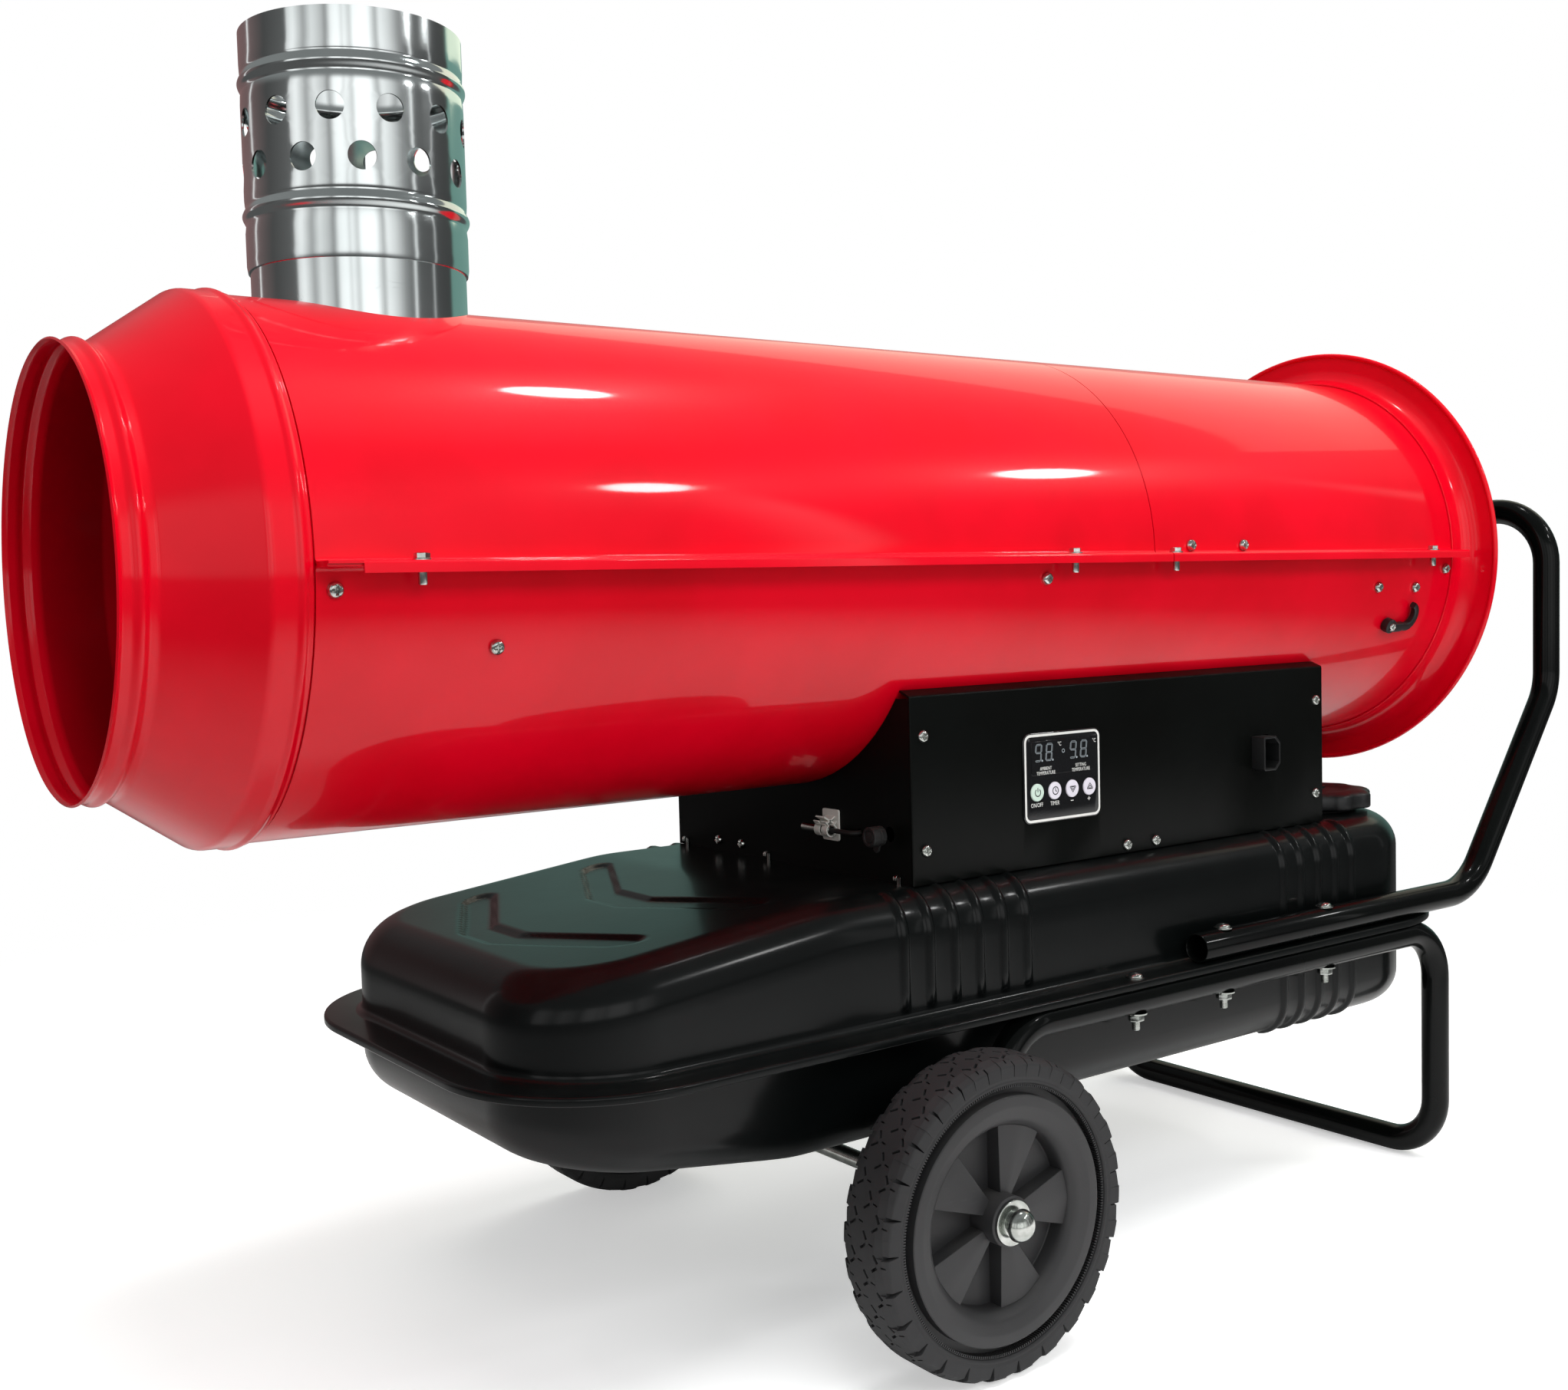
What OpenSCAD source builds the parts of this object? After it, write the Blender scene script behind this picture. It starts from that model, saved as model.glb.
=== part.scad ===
// Indirect diesel heater on a two-wheeled cart.
// The machine is laid out from its wheel axle: x runs to the rear, where the handle is,
// y is zero in the middle plane, and z is zero on the floor. module place() then moves
// everything so that the origin lies on the floor under the middle of the machine.

/* [Barrel] */
// Outside diameter of the barrel
barrel_d = 318; // [308:1:328]
// Distance from the axle forward to the front edge of the barrel
barrel_front = 395; // [380:1:410]
// Length of the front upper shell
front_shell_l = 630; // [600:1:660]
// Length of the rear upper shell
rear_shell_l = 375; // [360:1:400]
// Sheet thickness of barrel, outlet and inlet bell
shell_t = 1.5; // [1.2:0.1:1.8]
// Width of the side lips that join the shells
lip_w = 18; // [16:1:22]
// Depth of the turned-down edge of the upper lips
lip_drop = 5; // [3:0.5:8]
// Height of the barrel axis above the top of the control box
barrel_rise = 91; // [84:1:98]

/* [Hot air outlet] */
// Outside diameter of the outlet collar
outlet_d = 256; // [240:1:270]
// Length of the outlet collar
collar_l = 20; // [16:1:30]
// Length of the cone behind the collar
cone_l = 46; // [36:1:60]
// Length of the ring between cone and barrel
ring_l = 23; // [18:1:30]
// Length of the spigots that slide into the barrel
spigot_l = 16; // [12:1:20]

/* [Air inlet] */
// Diameter of the inlet bell over its rim
bell_d = 378; // [370:1:390]
// Radius of the bell's curved throat
bell_curve = 15; // [10:1:18]
// Wire diameter of the fan guard
guard_wire = 3; // [2.5:0.5:4]
// Number of guard rings
guard_rings = 8; // [6:1:10]

/* [Flue] */
// Distance from the barrel's front edge to the flue axis
flue_back = 96; // [90:1:110]
// Outside diameter of the flue stub
stub_d = 128; // [118:1:132]
// Height of the stub that shows above the barrel
stub_show = 20; // [12:1:30]
// Length of the perforated draft pipe
pipe_l = 141; // [130:1:160]
// Diameter of the holes in the draft pipe
pipe_hole_d = 16.5; // [12:0.5:19]
// Holes in each of the two rows
pipe_holes = 12; // [8:1:14]
// Height of the lower hole row above the pipe's lower end
pipe_hole_z = 57; // [50:1:62]
// Spacing of the two hole rows
pipe_row_gap = 28; // [24:1:30]

/* [Exchanger and burner] */
// Outside diameter of the heat exchanger drum
exchanger_d = 250; // [236:1:256]
// Length of the drum without its domed front
exchanger_l = 540; // [500:1:550]
// Depth of the domed front
dome_h = 28; // [20:1:34]
// Diameter of the combustion chamber
chamber_d = 170; // [150:1:180]
// Length of the combustion chamber
chamber_l = 480; // [440:1:500]
// Diameter of the burner tube
burner_d = 96; // [88:1:104]
// Length of the burner tube
burner_l = 112; // [100:1:120]
// Diameter of the nozzle holder
nozzle_d = 16; // [14:1:20]

/* [Motor and fan] */
// Diameter of the motor
motor_d = 112; // [100:1:118]
// Length of the motor
motor_l = 140; // [130:1:150]
// Diameter of the motor shaft
shaft_d = 12; // [10:1:14]
// Diameter of the fan over its blades
fan_d = 292; // [280:1:300]
// Number of fan blades
fan_blades = 7; // [5:1:9]
// Gap from the fan hub to the motor
fan_gap = 22; // [16:1:26]

/* [Control box] */
// Distance from the axle back to the front of the box
box_back = 11; // [5:1:20]
// Length of the box
box_l = 440; // [425:1:460]
// Width of the box
box_w = 287; // [280:1:292]
// Height of the box
box_h = 127; // [124:1:132]
// Sheet thickness of the box
box_t = 1.5; // [1.2:0.1:1.8]
// Width of the display panel
panel_w = 77; // [72:1:84]
// Height of the display panel
panel_h = 64; // [62:1:70]
// Diameter of the four keys
key_d = 12.4; // [11:0.1:13]
// Spacing of the keys
key_pitch = 17.4; // [16.5:0.1:18]
// Travel of a key
key_travel = 0.6; // [0.4:0.1:0.8]

/* [Tank] */
// Height of the tank's underside above the floor
tank_clear = 136; // [132:1:150]
// Height of the lower tank shell
tank_low_h = 77; // [72:1:84]
// Height of the upper tank shell
tank_up_h = 84; // [78:1:90]
// Length of the tank without its seam flange
tank_l = 854; // [840:1:880]
// Width of the tank without its seam flange
tank_w = 326; // [318:1:332]
// Width of the seam flange
flange_w = 26; // [24:1:30]
// Wall thickness of the tank
tank_t = 2; // [1.6:0.1:2.4]
// Corner radius of the tank seen from above
tank_corner = 78; // [64:1:84]
// Radius of the tank's long edges
tank_edge = 28; // [22:1:34]
// Slope of the front of the tank's top, in degrees
tank_slope = 6.5; // [4:0.5:8]
// Height of the stiffening ribs
rib_h = 2.6; // [1.5:0.1:4]
// Spacing of the ribs
rib_pitch = 22; // [18:1:24]
// Diameter of the filler cap over its lobes
cap_d = 106; // [96:1:110]
// Height of the filler cap
cap_h = 15; // [13:1:20]
// Diameter of the filler neck
neck_d = 76; // [66:1:80]

/* [Wheels and frame] */
// Diameter of the wheels
wheel_d = 203; // [190:1:215]
// Width of the wheels
wheel_w = 44; // [38:1:46]
// Distance over the outer faces of both wheels
track = 486; // [480:1:500]
// Diameter of the wheel axle
axle_d = 12; // [10:1:14]
// Spokes on each face of a wheel
spokes = 5; // [4:1:7]
// Diameter of the frame and handle tubes
tube_d = 22; // [20:1:24]
// Wall thickness of the tubes
tube_t = 1.5; // [1.2:0.1:2]
// Distance of the side rails from the middle plane
rail_y = 178; // [176:1:180]
// Bend radius of the stand's tube
frame_bend = 42; // [36:1:50]
// Bend radius of the handle's upper corners
handle_bend = 48; // [40:1:60]
// Bend radius of the handle's lower corners
handle_low_bend = 60; // [48:1:66]
// Height that the handle's sloping part gains
handle_rise = 166; // [150:1:176]
// Distance from the axle back to the rear legs
leg_back = 555; // [545:1:570]
// Distance from the axle back to the handle's grip bar
grip_back = 728; // [710:1:750]
// Height of the grip bar above the floor
grip_height = 552; // [520:1:580]

/* [Hidden] */
$fn = 64;

// Clearances
fit = 0.3;          // seat of one sheet piece inside or beside another
running = 0.05;     // radial clearance of a turning shaft
slack = 0.2;        // radial clearance of a bolt or a key in its hole

// Heights, from the floor up
seam_z = tank_clear + tank_low_h;
tank_top = seam_z + tank_up_h;
box_top = tank_top + box_h;
barrel_z = box_top + barrel_rise;

// Barrel stations along x
barrel_r = barrel_d / 2;
bore_r = barrel_r - shell_t;
x_front = -barrel_front;
x_split = x_front + front_shell_l;
x_rear = x_split + rear_shell_l;
x_outlet = x_front - ring_l - cone_l - collar_l;
bell_land = 6;
x_bell = x_rear + bell_land + bell_curve;
flue_x = x_front + flue_back;
pipe_z = barrel_z + barrel_r + stub_show;
stub_r = stub_d / 2;
pipe_r = stub_r + fit + shell_t;

// Inside the barrel
exchanger_r = exchanger_d / 2;
x_drum = x_front + 52;
x_drum_end = x_drum + exchanger_l;
chamber_r = chamber_d / 2;
x_chamber = x_drum_end - shell_t - chamber_l;
x_burner = x_drum_end - 50;
burner_flange_t = 3;
x_motor = x_drum_end + 133;
x_motor_end = x_motor + motor_l;
x_fan = x_motor_end + fan_gap;
fan_hub_l = 34;
pump_w = 52;
pump_l = 32;
pump_neck = 10;
x_pump = x_motor - pump_neck - pump_l;

// Control box
x_box = box_back;
x_box_end = x_box + box_l;
box_half = box_w / 2;
panel_x = x_box + 140.5;
panel_z = tank_top + 63;
panel_t = 1.2;
panel_corner = 6;
panel_depth = 10;
key_z = panel_z - 10;
first_key_x = panel_x + 0.3 - 1.5 * key_pitch;
window_w = 62;
window_h = 24;
window_z = panel_z + 14;
inlet_x = x_box + 361;
inlet_z = tank_top + 62.5;
inlet_w = 20;
inlet_h = 27;
inlet_out = 12;
probe_z = tank_top + 31;
probe_out = 6;
probe_d = 6.4;
lead_d = 3.6;
hole_y = -88;
socket_y = -120;
socket_z = tank_top + 33;
socket_d = 12;

// Tank and cart
x_tank = -277;
x_tank_end = x_tank + tank_l;
tank_half = tank_w / 2;
slope_x = x_tank + 214;
flange_t = 1.5;
neck_x = x_tank_end - 65;
neck_y = -84;
neck_r = neck_d / 2;
neck_up = 9;
neck_wall = 3;
gasket_t = 2;
// Room around the neck inside the cap's skirt, which keeps 2 mm of wall
cap_room = min(6.5, cap_d / 2 - 7 - neck_r);
wheel_r = wheel_d / 2;
rim_r = wheel_r - 16;
rail_z = seam_z - flange_t - fit - tube_d / 2;
handle_z = seam_z + flange_t + fit + tube_d / 2;
handle_front = 253;
bolt_d = 6;
bolt_stations = [187, 283, 405];
lip_bolt_d = 5;
lip_bolt_stations = [x_front + 54, x_split - 92, x_split + 12, x_rear - 41];
screw_d = 4;
washer_r = 14.3;
washer_t = 1.6;
hub_r = 16;
cap_nut_l = 14;

// Ribs, as [first station, count]
front_ribs = [x_tank + 263, 6];
rear_ribs = [x_tank_end - 203, 5];

// Screws on the barrel, as [station, height from the barrel axis]
shell_screws = [
    [x_front + 10, -13], [x_front + 103, -46], [x_split - 110, -15],
    [x_split + 39, 7], [x_split + 99, 7], [x_split + 274, -28],
    [x_split + 326, -29], [x_rear - 8, -14]
];

// The origin lies midway between the outlet's rim and the back of the grip bar
mid_x = (x_outlet + grip_back + tube_d / 2) / 2;

module place() {
    translate([-mid_x, 0, 0]) children();
}

module both_sides() {
    for (side = [0, 1]) mirror([0, side, 0]) children();
}

// Local +Z becomes +X on the barrel's axis, and local +X points down
module barrel_axis(x = 0) {
    translate([x, 0, barrel_z]) rotate([0, 90, 0]) children();
}

// Local +Z becomes +Y
module across(x, y, z) {
    translate([x, y, z]) rotate([-90, 0, 0]) children();
}

// A flat shape drawn in Y and Z, given a thickness along X
module slab_x(x, l) {
    translate([x, 0, 0]) rotate([90, 0, 90]) linear_extrude(l) children();
}

// A flat shape drawn in X and Z, given a thickness towards -Y from y
module slab_y(y, l) {
    translate([0, y, 0]) rotate([90, 0, 0]) linear_extrude(l) children();
}

module rounded_rect(w, h, r) {
    square([w - 2 * r, h], center = true);
    square([w, h - 2 * r], center = true);
    for (i = [-1, 1], j = [-1, 1])
        translate([i * (w / 2 - r), j * (h / 2 - r)]) circle(r);
}

module ring(r_out, r_in, l) {
    difference() {
        cylinder(r = r_out, h = l);
        translate([0, 0, -1]) cylinder(r = r_in, h = l + 2);
    }
}

function unit(v) = v / norm(v);
function arc(cx, cy, r, a0, a1, steps = 8) =
    [for (i = [0:steps]) let (a = a0 + (a1 - a0) * i / steps) [cx + r * cos(a), cy + r * sin(a)]];

// One straight run of solid rod between two points
module rod_run(a, b, d) {
    v = b - a;
    translate(a) rotate([0, acos(v[2] / norm(v)), atan2(v[1], v[0])]) cylinder(d = d, h = norm(v));
}

// One bend of rod: from point s along u, turning by the given angle towards n
module rod_bend(s, u, n, r, angle, d) {
    c = s + n * r;
    z = cross(-n, u);
    multmatrix([
        [-n[0], u[0], z[0], c[0]],
        [-n[1], u[1], z[1], c[1]],
        [-n[2], u[2], z[2], c[2]]
    ])
        rotate_extrude(angle = angle) translate([r, 0]) circle(d = d);
}

// A round rod through the given corner points, bent at radius r
module bent_rod(p, r, d) {
    last = len(p) - 1;
    turn = [for (i = [0:last]) i == 0 || i == last ? 0
        : acos(unit(p[i] - p[i - 1]) * unit(p[i + 1] - p[i]))];
    cut = [for (i = [0:last]) r * tan(turn[i] / 2)];
    for (i = [0:last - 1]) {
        u = unit(p[i + 1] - p[i]);
        rod_run(p[i] + u * cut[i], p[i + 1] - u * cut[i + 1], d);
    }
    for (i = [1:last - 1]) {
        u = unit(p[i] - p[i - 1]);
        w = unit(p[i + 1] - p[i]);
        rod_bend(p[i] - u * cut[i], u, unit(w - u * (u * w)), r, turn[i], d);
    }
}

// Section of the frame and handle tubes
module tube_section() {
    difference() {
        circle(d = tube_d);
        circle(d = tube_d - 2 * tube_t);
    }
}

// A straight tube along local +Z, then a bend towards local +X, then whatever follows it.
// The bend is swept a little too far and cut square, so that it ends where the next run starts.
module tube_then(l, r, angle) {
    spare = 5;
    linear_extrude(l) tube_section();
    translate([r, 0, l]) {
        difference() {
            rotate([90, 0, 180]) rotate_extrude(angle = angle + spare) translate([r, 0]) tube_section();
            rotate([0, angle, 0]) translate([-r - tube_d, -tube_d, 0]) cube(2 * tube_d);
        }
        rotate([0, angle, 0]) translate([-r, 0, 0]) children();
    }
}

// Barrel shells

module half_tube(r_out, r_in, x0, x1, turn) {
    barrel_axis() rotate([0, 0, turn]) rotate_extrude(angle = 180)
        translate([r_in, x0]) square([r_out - r_in, x1 - x0]);
}

module lip_holes() {
    both_sides() for (x = lip_bolt_stations)
        translate([x, barrel_r + lip_w / 2, barrel_z - 10]) cylinder(d = lip_bolt_d + 2 * slack, h = 20);
}

module screw_at(s) {
    a = asin(s[1] / barrel_r);
    translate([s[0], 0, barrel_z]) rotate([a, 0, 0]) rotate([-90, 0, 0]) children();
}

module shell_screw_holes() {
    both_sides() for (s = shell_screws)
        screw_at(s) translate([0, 0, barrel_r - 12]) cylinder(d = screw_d + 2 * slack, h = 24);
}

module upper_shell(x0, x1, inset) {
    difference() {
        union() {
            half_tube(barrel_r, bore_r, x0, x1, 90);
            both_sides() {
                translate([x0, barrel_r - shell_t / 2, barrel_z])
                    cube([x1 - x0, lip_w + shell_t / 2, shell_t]);
                translate([x0 + inset, barrel_r + lip_w - shell_t, barrel_z - lip_drop])
                    cube([x1 - x0 - inset, shell_t, lip_drop + shell_t / 2]);
            }
        }
        lip_holes();
        shell_screw_holes();
    }
}

module upper_shell_front() {
    lip_start = 21;
    place() color("crimson") difference() {
        upper_shell(x_front, x_split - fit, lip_start);
        translate([flue_x, 0, barrel_z]) cylinder(r = stub_r + fit, h = barrel_d);
    }
}

module upper_shell_rear() {
    place() color("crimson") upper_shell(x_split, x_rear, 0);
}

module lower_shell() {
    place() color("firebrick") difference() {
        union() {
            half_tube(barrel_r, bore_r, x_front, x_rear, -90);
            both_sides() translate([x_front, barrel_r - shell_t / 2, barrel_z - shell_t])
                cube([x_rear - x_front, lip_w - shell_t - fit + shell_t / 2, shell_t]);
        }
        lip_holes();
        shell_screw_holes();
        hook_screw_hole();
        translate([hose_x, hose_y, tank_top]) cylinder(d = hose_d + 2, h = box_h + barrel_rise);
    }
}

module outlet_cone() {
    rr = barrel_r + shell_t;
    ro = outlet_d / 2;
    rs = bore_r - fit;
    x1 = x_outlet + collar_l;
    x2 = x1 + cone_l;
    x3 = x2 + ring_l - fit;
    bead = 2.2;
    outer = [[ro, x_outlet], [ro, x1], [rr, x2], [rr, x3], [rs, x3], [rs, x3 + spigot_l]];
    inner = [
        [rs - shell_t, x3 + spigot_l], [rs - shell_t, x3 - shell_t], [rr - shell_t, x3 - shell_t],
        [rr - shell_t, x2], [ro - shell_t, x1], [ro - shell_t, x_outlet]
    ];
    place() color("crimson") difference() {
        barrel_axis() rotate_extrude($fn = 96) {
            polygon(concat(outer, inner));
            translate([ro - shell_t / 2, x_outlet + collar_l * 0.55]) circle(bead, $fn = 24);
            translate([rr - shell_t / 2, x3 - 5]) circle(bead, $fn = 24);
        }
        shell_screw_holes();
    }
}

module inlet_bell() {
    rb = barrel_r + shell_t;
    rs = bore_r - fit;
    x1 = x_rear + fit;
    x2 = x1 + bell_land;
    rc = rb + bell_curve;
    rim = 2.2;
    r_edge = bell_d / 2 - rim;
    outer = concat(
        [[rs - shell_t, x1 - spigot_l], [rs, x1 - spigot_l], [rs, x1], [rb, x1]],
        arc(rc, x2, bell_curve, 180, 90), [[r_edge, x2 + bell_curve]]);
    inner = concat(
        [[r_edge, x2 + bell_curve + shell_t]], arc(rc, x2, bell_curve + shell_t, 90, 180),
        [[rb - shell_t, x1 + shell_t], [rs - shell_t, x1 + shell_t]]);
    place() color("firebrick") difference() {
        barrel_axis() rotate_extrude($fn = 96) {
            polygon(concat(outer, inner));
            translate([r_edge, x2 + bell_curve + shell_t / 2]) circle(rim, $fn = 24);
        }
        shell_screw_holes();
        guard_screw_places() cylinder(d = screw_d + 2 * slack, h = 40, center = true);
    }
}

guard_r = barrel_r + shell_t + bell_curve - 4;
guard_screw_r = (guard_r + bell_d / 2) / 2;
x_guard = x_bell + fit + shell_t;

module guard_screw_places() {
    barrel_axis(x_bell) for (a = [45:90:315]) rotate([0, 0, a]) translate([guard_screw_r, 0, 0]) children();
}

module fan_guard() {
    tab_t = 1.5;
    tab_l = 17.5;
    wire_r = guard_wire / 2;
    bar_x = x_guard + tab_t + wire_r;
    ring_x = bar_x + guard_wire * 0.8;
    pitch = guard_r / guard_rings;
    place() color("dimgray") difference() {
        union() {
            for (i = [1:guard_rings])
                barrel_axis(ring_x) rotate_extrude() translate([i * pitch, 0]) circle(wire_r, $fn = 20);
            for (a = [0:45:315]) barrel_axis(bar_x) rotate([0, 0, a]) rotate([0, 90, 0])
                translate([0, 0, pitch]) cylinder(r = wire_r, h = guard_r - pitch, $fn = 20);
            for (a = [45:90:315]) barrel_axis(x_guard) rotate([0, 0, a])
                translate([guard_screw_r - 14, -7, 0]) cube([tab_l, 14, tab_t + wire_r / 2]);
        }
        guard_screw_places() cylinder(d = screw_d + 2 * slack, h = 40, center = true);
    }
}

// Flue

module flue_stub() {
    bottom = barrel_z + exchanger_r + 4;
    place() color("silver") translate([flue_x, 0, bottom])
        ring(stub_r, stub_r - shell_t, pipe_z + 22 - bottom, $fn = 96);
}

module draft_pipe() {
    bead = 2 * shell_t;
    bead_low = 33;
    bead_high = pipe_l - 30;
    inner = pipe_r - shell_t;
    place() color("silver") translate([flue_x, 0, pipe_z]) difference() {
        rotate_extrude($fn = 96) difference() {
            union() {
                translate([inner, 0]) square([shell_t, pipe_l]);
                for (z = [bead_low, bead_high]) translate([inner, z]) circle(bead, $fn = 24);
            }
            for (z = [bead_low, bead_high]) translate([inner, z]) circle(bead - shell_t, $fn = 24);
            translate([inner - 2 * bead, 0]) square([2 * bead, pipe_l]);
        }
        for (row = [0, 1], i = [0:pipe_holes - 1])
            rotate([0, 0, (i + row / 2) * 360 / pipe_holes + 11]) translate([inner - 5, 0, pipe_hole_z + row * pipe_row_gap])
                rotate([0, 90, 0]) cylinder(d = pipe_hole_d, h = 15);
    }
}

// Heat exchanger and combustion chamber

module heat_exchanger() {
    r = exchanger_r;
    dome = (r * r + dome_h * dome_h) / (2 * dome_h);
    half = asin(r / dome);
    apex = x_drum - dome_h;
    profile = concat(
        arc(0, apex + dome, dome, -90, -90 + half, 10), [[r, x_drum_end], [burner_d / 2 + fit, x_drum_end]],
        [[burner_d / 2 + fit, x_drum_end - shell_t], [r - shell_t, x_drum_end - shell_t]],
        arc(0, apex + dome, dome - shell_t, -90 + asin((r - shell_t) / (dome - shell_t)), -90, 10));
    collar_r = stub_r - shell_t - fit;
    place() color("saddlebrown") difference() {
        union() {
            barrel_axis() rotate_extrude() polygon(profile);
            translate([flue_x, 0, barrel_z]) cylinder(r = collar_r, h = exchanger_r + 24);
        }
        barrel_axis() rotate_extrude() polygon(concat(
            [[0, x_drum_end - shell_t]], [[r - shell_t, x_drum_end - shell_t]],
            arc(0, apex + dome, dome - shell_t, -90 + asin((r - shell_t) / (dome - shell_t)), -90, 10)));
        translate([flue_x, 0, barrel_z]) cylinder(r = collar_r - shell_t, h = exchanger_r + 30);
    }
}

module combustion_chamber() {
    port = 46;
    place() color("gray") difference() {
        barrel_axis(x_chamber) difference() {
            cylinder(r = chamber_r, h = chamber_l);
            translate([0, 0, shell_t]) cylinder(r = chamber_r - shell_t, h = chamber_l);
        }
        translate([x_chamber + chamber_l - port, 0, barrel_z - chamber_d])
            cylinder(d = port, h = chamber_d);
    }
}

module exchanger_feet() {
    foot_l = 30;
    foot_t = 4;
    place() color("slategray") for (x = [x_front + 88, x_split - 125], a = [-40, 40])
        barrel_axis(x) rotate([0, 0, a]) intersection() {
            translate([exchanger_r - 10, -foot_t / 2, 0]) cube([60, foot_t, foot_l]);
            translate([0, 0, -1]) difference() {
                cylinder(r = bore_r - fit, h = foot_l + 2);
                translate([0, 0, -1]) cylinder(r = exchanger_r + fit, h = foot_l + 4);
            }
        }
}

// Burner

module burner_tube() {
    r = burner_d / 2;
    plate_t = 2;
    vent_r = (r + nozzle_d / 2) / 2;
    place() color("dimgray") difference() {
        barrel_axis() difference() {
            union() {
                translate([0, 0, x_burner]) cylinder(r = r, h = burner_l);
                translate([0, 0, x_drum_end]) cylinder(r = r + 14, h = burner_flange_t);
            }
            translate([0, 0, x_burner - 1]) cylinder(r = r - shell_t, h = burner_l + 1 - plate_t);
            cylinder(d = nozzle_d + 2 * slack, h = x_burner + burner_l + 1);
            for (a = [45:90:315]) rotate([0, 0, a]) translate([vent_r, 0, x_burner])
                cylinder(r = 9, h = burner_l + 1);
            for (a = [90, 270]) rotate([0, 0, a]) translate([vent_r, 0, x_burner])
                cylinder(d = 8 + 2 * slack, h = burner_l + 1);
        }
    }
}

module flame_disc() {
    r = burner_d / 2 - shell_t - fit;
    place() color("darkgray") barrel_axis(x_burner + 8) difference() {
        union() {
            cylinder(r = r, h = 1.5);
            translate([0, 0, 0]) ring(r, r - 1.5, 10);
        }
        translate([0, 0, -1]) cylinder(r = 11, h = 4);
        for (a = [0:45:315]) rotate([0, 0, a]) translate([15, -2, -1]) cube([r - 19, 4, 4]);
    }
}

nozzle_tip = x_burner + 12;
nozzle_l = burner_l - 4;

module nozzle_holder() {
    place() color("goldenrod") barrel_axis(nozzle_tip) {
        translate([0, 0, 14]) cylinder(d = nozzle_d, h = nozzle_l - 14);
        translate([0, 0, 4]) cylinder(d = nozzle_d * 0.9, h = 10, $fn = 6);
        cylinder(d1 = 5, d2 = nozzle_d * 0.7, h = 4);
    }
}

module ignition_electrodes() {
    vent_r = (burner_d / 2 + nozzle_d / 2) / 2;
    tip_gap = 4;
    x_tip = nozzle_tip - 6;
    place() for (side = [-1, 1]) {
        color("white") translate([nozzle_tip + 22, side * vent_r, barrel_z]) rotate([0, 90, 0])
            cylinder(d = 8, h = burner_l - 20);
        color("silver") bent_rod([
            [nozzle_tip + 22, side * vent_r, barrel_z], [x_tip, side * vent_r, barrel_z],
            [x_tip, side * tip_gap / 2, barrel_z]], 3, 2);
    }
}

// Motor, fan and pump

module motor() {
    fins = 18;
    r = motor_d / 2;
    place() color("darkslategray") barrel_axis(x_motor) difference() {
        union() {
            cylinder(r = r - 4, h = motor_l);
            for (z = [0, motor_l - 22]) translate([0, 0, z]) cylinder(r = r, h = 22);
            for (i = [0:fins - 1]) rotate([0, 0, i * 360 / fins]) translate([r - 8, -1.5, 20])
                cube([8 - 0.5, 3, motor_l - 40]);
        }
        translate([0, 0, -1]) cylinder(r = shaft_d / 2 + running, h = motor_l + 2);
    }
}

module motor_bracket() {
    band_w = 20;
    band_t = 3;
    arm_w = 18;
    r = motor_d / 2 + fit;
    place() color("gray") barrel_axis(x_motor + 1) {
        ring(r + band_t, r, band_w);
        for (a = [-62, 0, 62]) rotate([0, 0, a]) intersection() {
            translate([r + 1, -arm_w / 2, 0]) cube([bore_r, arm_w, band_t]);
            difference() {
                cylinder(r = bore_r - fit, h = band_w);
                translate([0, 0, -1]) cylinder(r = r + 1, h = band_w + 2);
            }
        }
    }
}

module motor_shaft() {
    place() color("silver") barrel_axis(x_motor - pump_neck - 6)
        cylinder(d = shaft_d, h = pump_neck + 6 + motor_l + fan_gap + fan_hub_l);
}

module fan() {
    hub = 34;
    blade_t = 3;
    chord = 74;
    pitch_angle = 36;
    place() color("gainsboro") barrel_axis(x_fan) difference() {
        union() {
            cylinder(r = hub, h = fan_hub_l);
            intersection() {
                for (i = [0:fan_blades - 1]) rotate([0, 0, i * 360 / fan_blades])
                    translate([0, 0, fan_hub_l / 2]) rotate([pitch_angle, 0, 0])
                        translate([hub - 8, -chord / 2, -blade_t / 2]) cube([fan_d / 2, chord, blade_t]);
                translate([0, 0, -20]) cylinder(d = fan_d, h = fan_hub_l + 40);
                translate([0, 0, -fan_gap + 4]) cylinder(d = fan_d, h = fan_hub_l + 2 * fan_gap - 8);
            }
        }
        translate([0, 0, -1]) cylinder(d = shaft_d, h = fan_hub_l + 2);
    }
}

module oil_pump() {
    place() color("darkgray") difference() {
        union() {
            translate([x_pump, -pump_w / 2, barrel_z - pump_w / 2]) cube([pump_l, pump_w, pump_w]);
            barrel_axis(x_pump + pump_l) cylinder(d = pump_w * 0.9, h = pump_neck);
        }
        barrel_axis(x_motor - pump_neck - 6 - 1) cylinder(r = shaft_d / 2 + running, h = pump_neck + 8);
    }
}

module fuel_solenoid() {
    place() color("black") translate([x_pump + pump_l / 2, 0, barrel_z + pump_w / 2]) {
        cylinder(d = 14, h = 6);
        translate([0, 0, 6]) cylinder(d = 30, h = 30);
    }
}

module fuel_pipe() {
    y = -pump_w / 2 + 10;
    x0 = nozzle_tip + nozzle_l;
    turn = x0 + 10;
    place() color("peru") bent_rod([
        [x0, 0, barrel_z], [turn, 0, barrel_z], [turn, y, barrel_z], [x_pump, y, barrel_z]], 4, 4);
}

hose_x = x_split - 5;
hose_y = 60;
hose_d = 9;
filter_x = hose_x + 70;
filter_z = tank_top + box_t;

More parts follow.
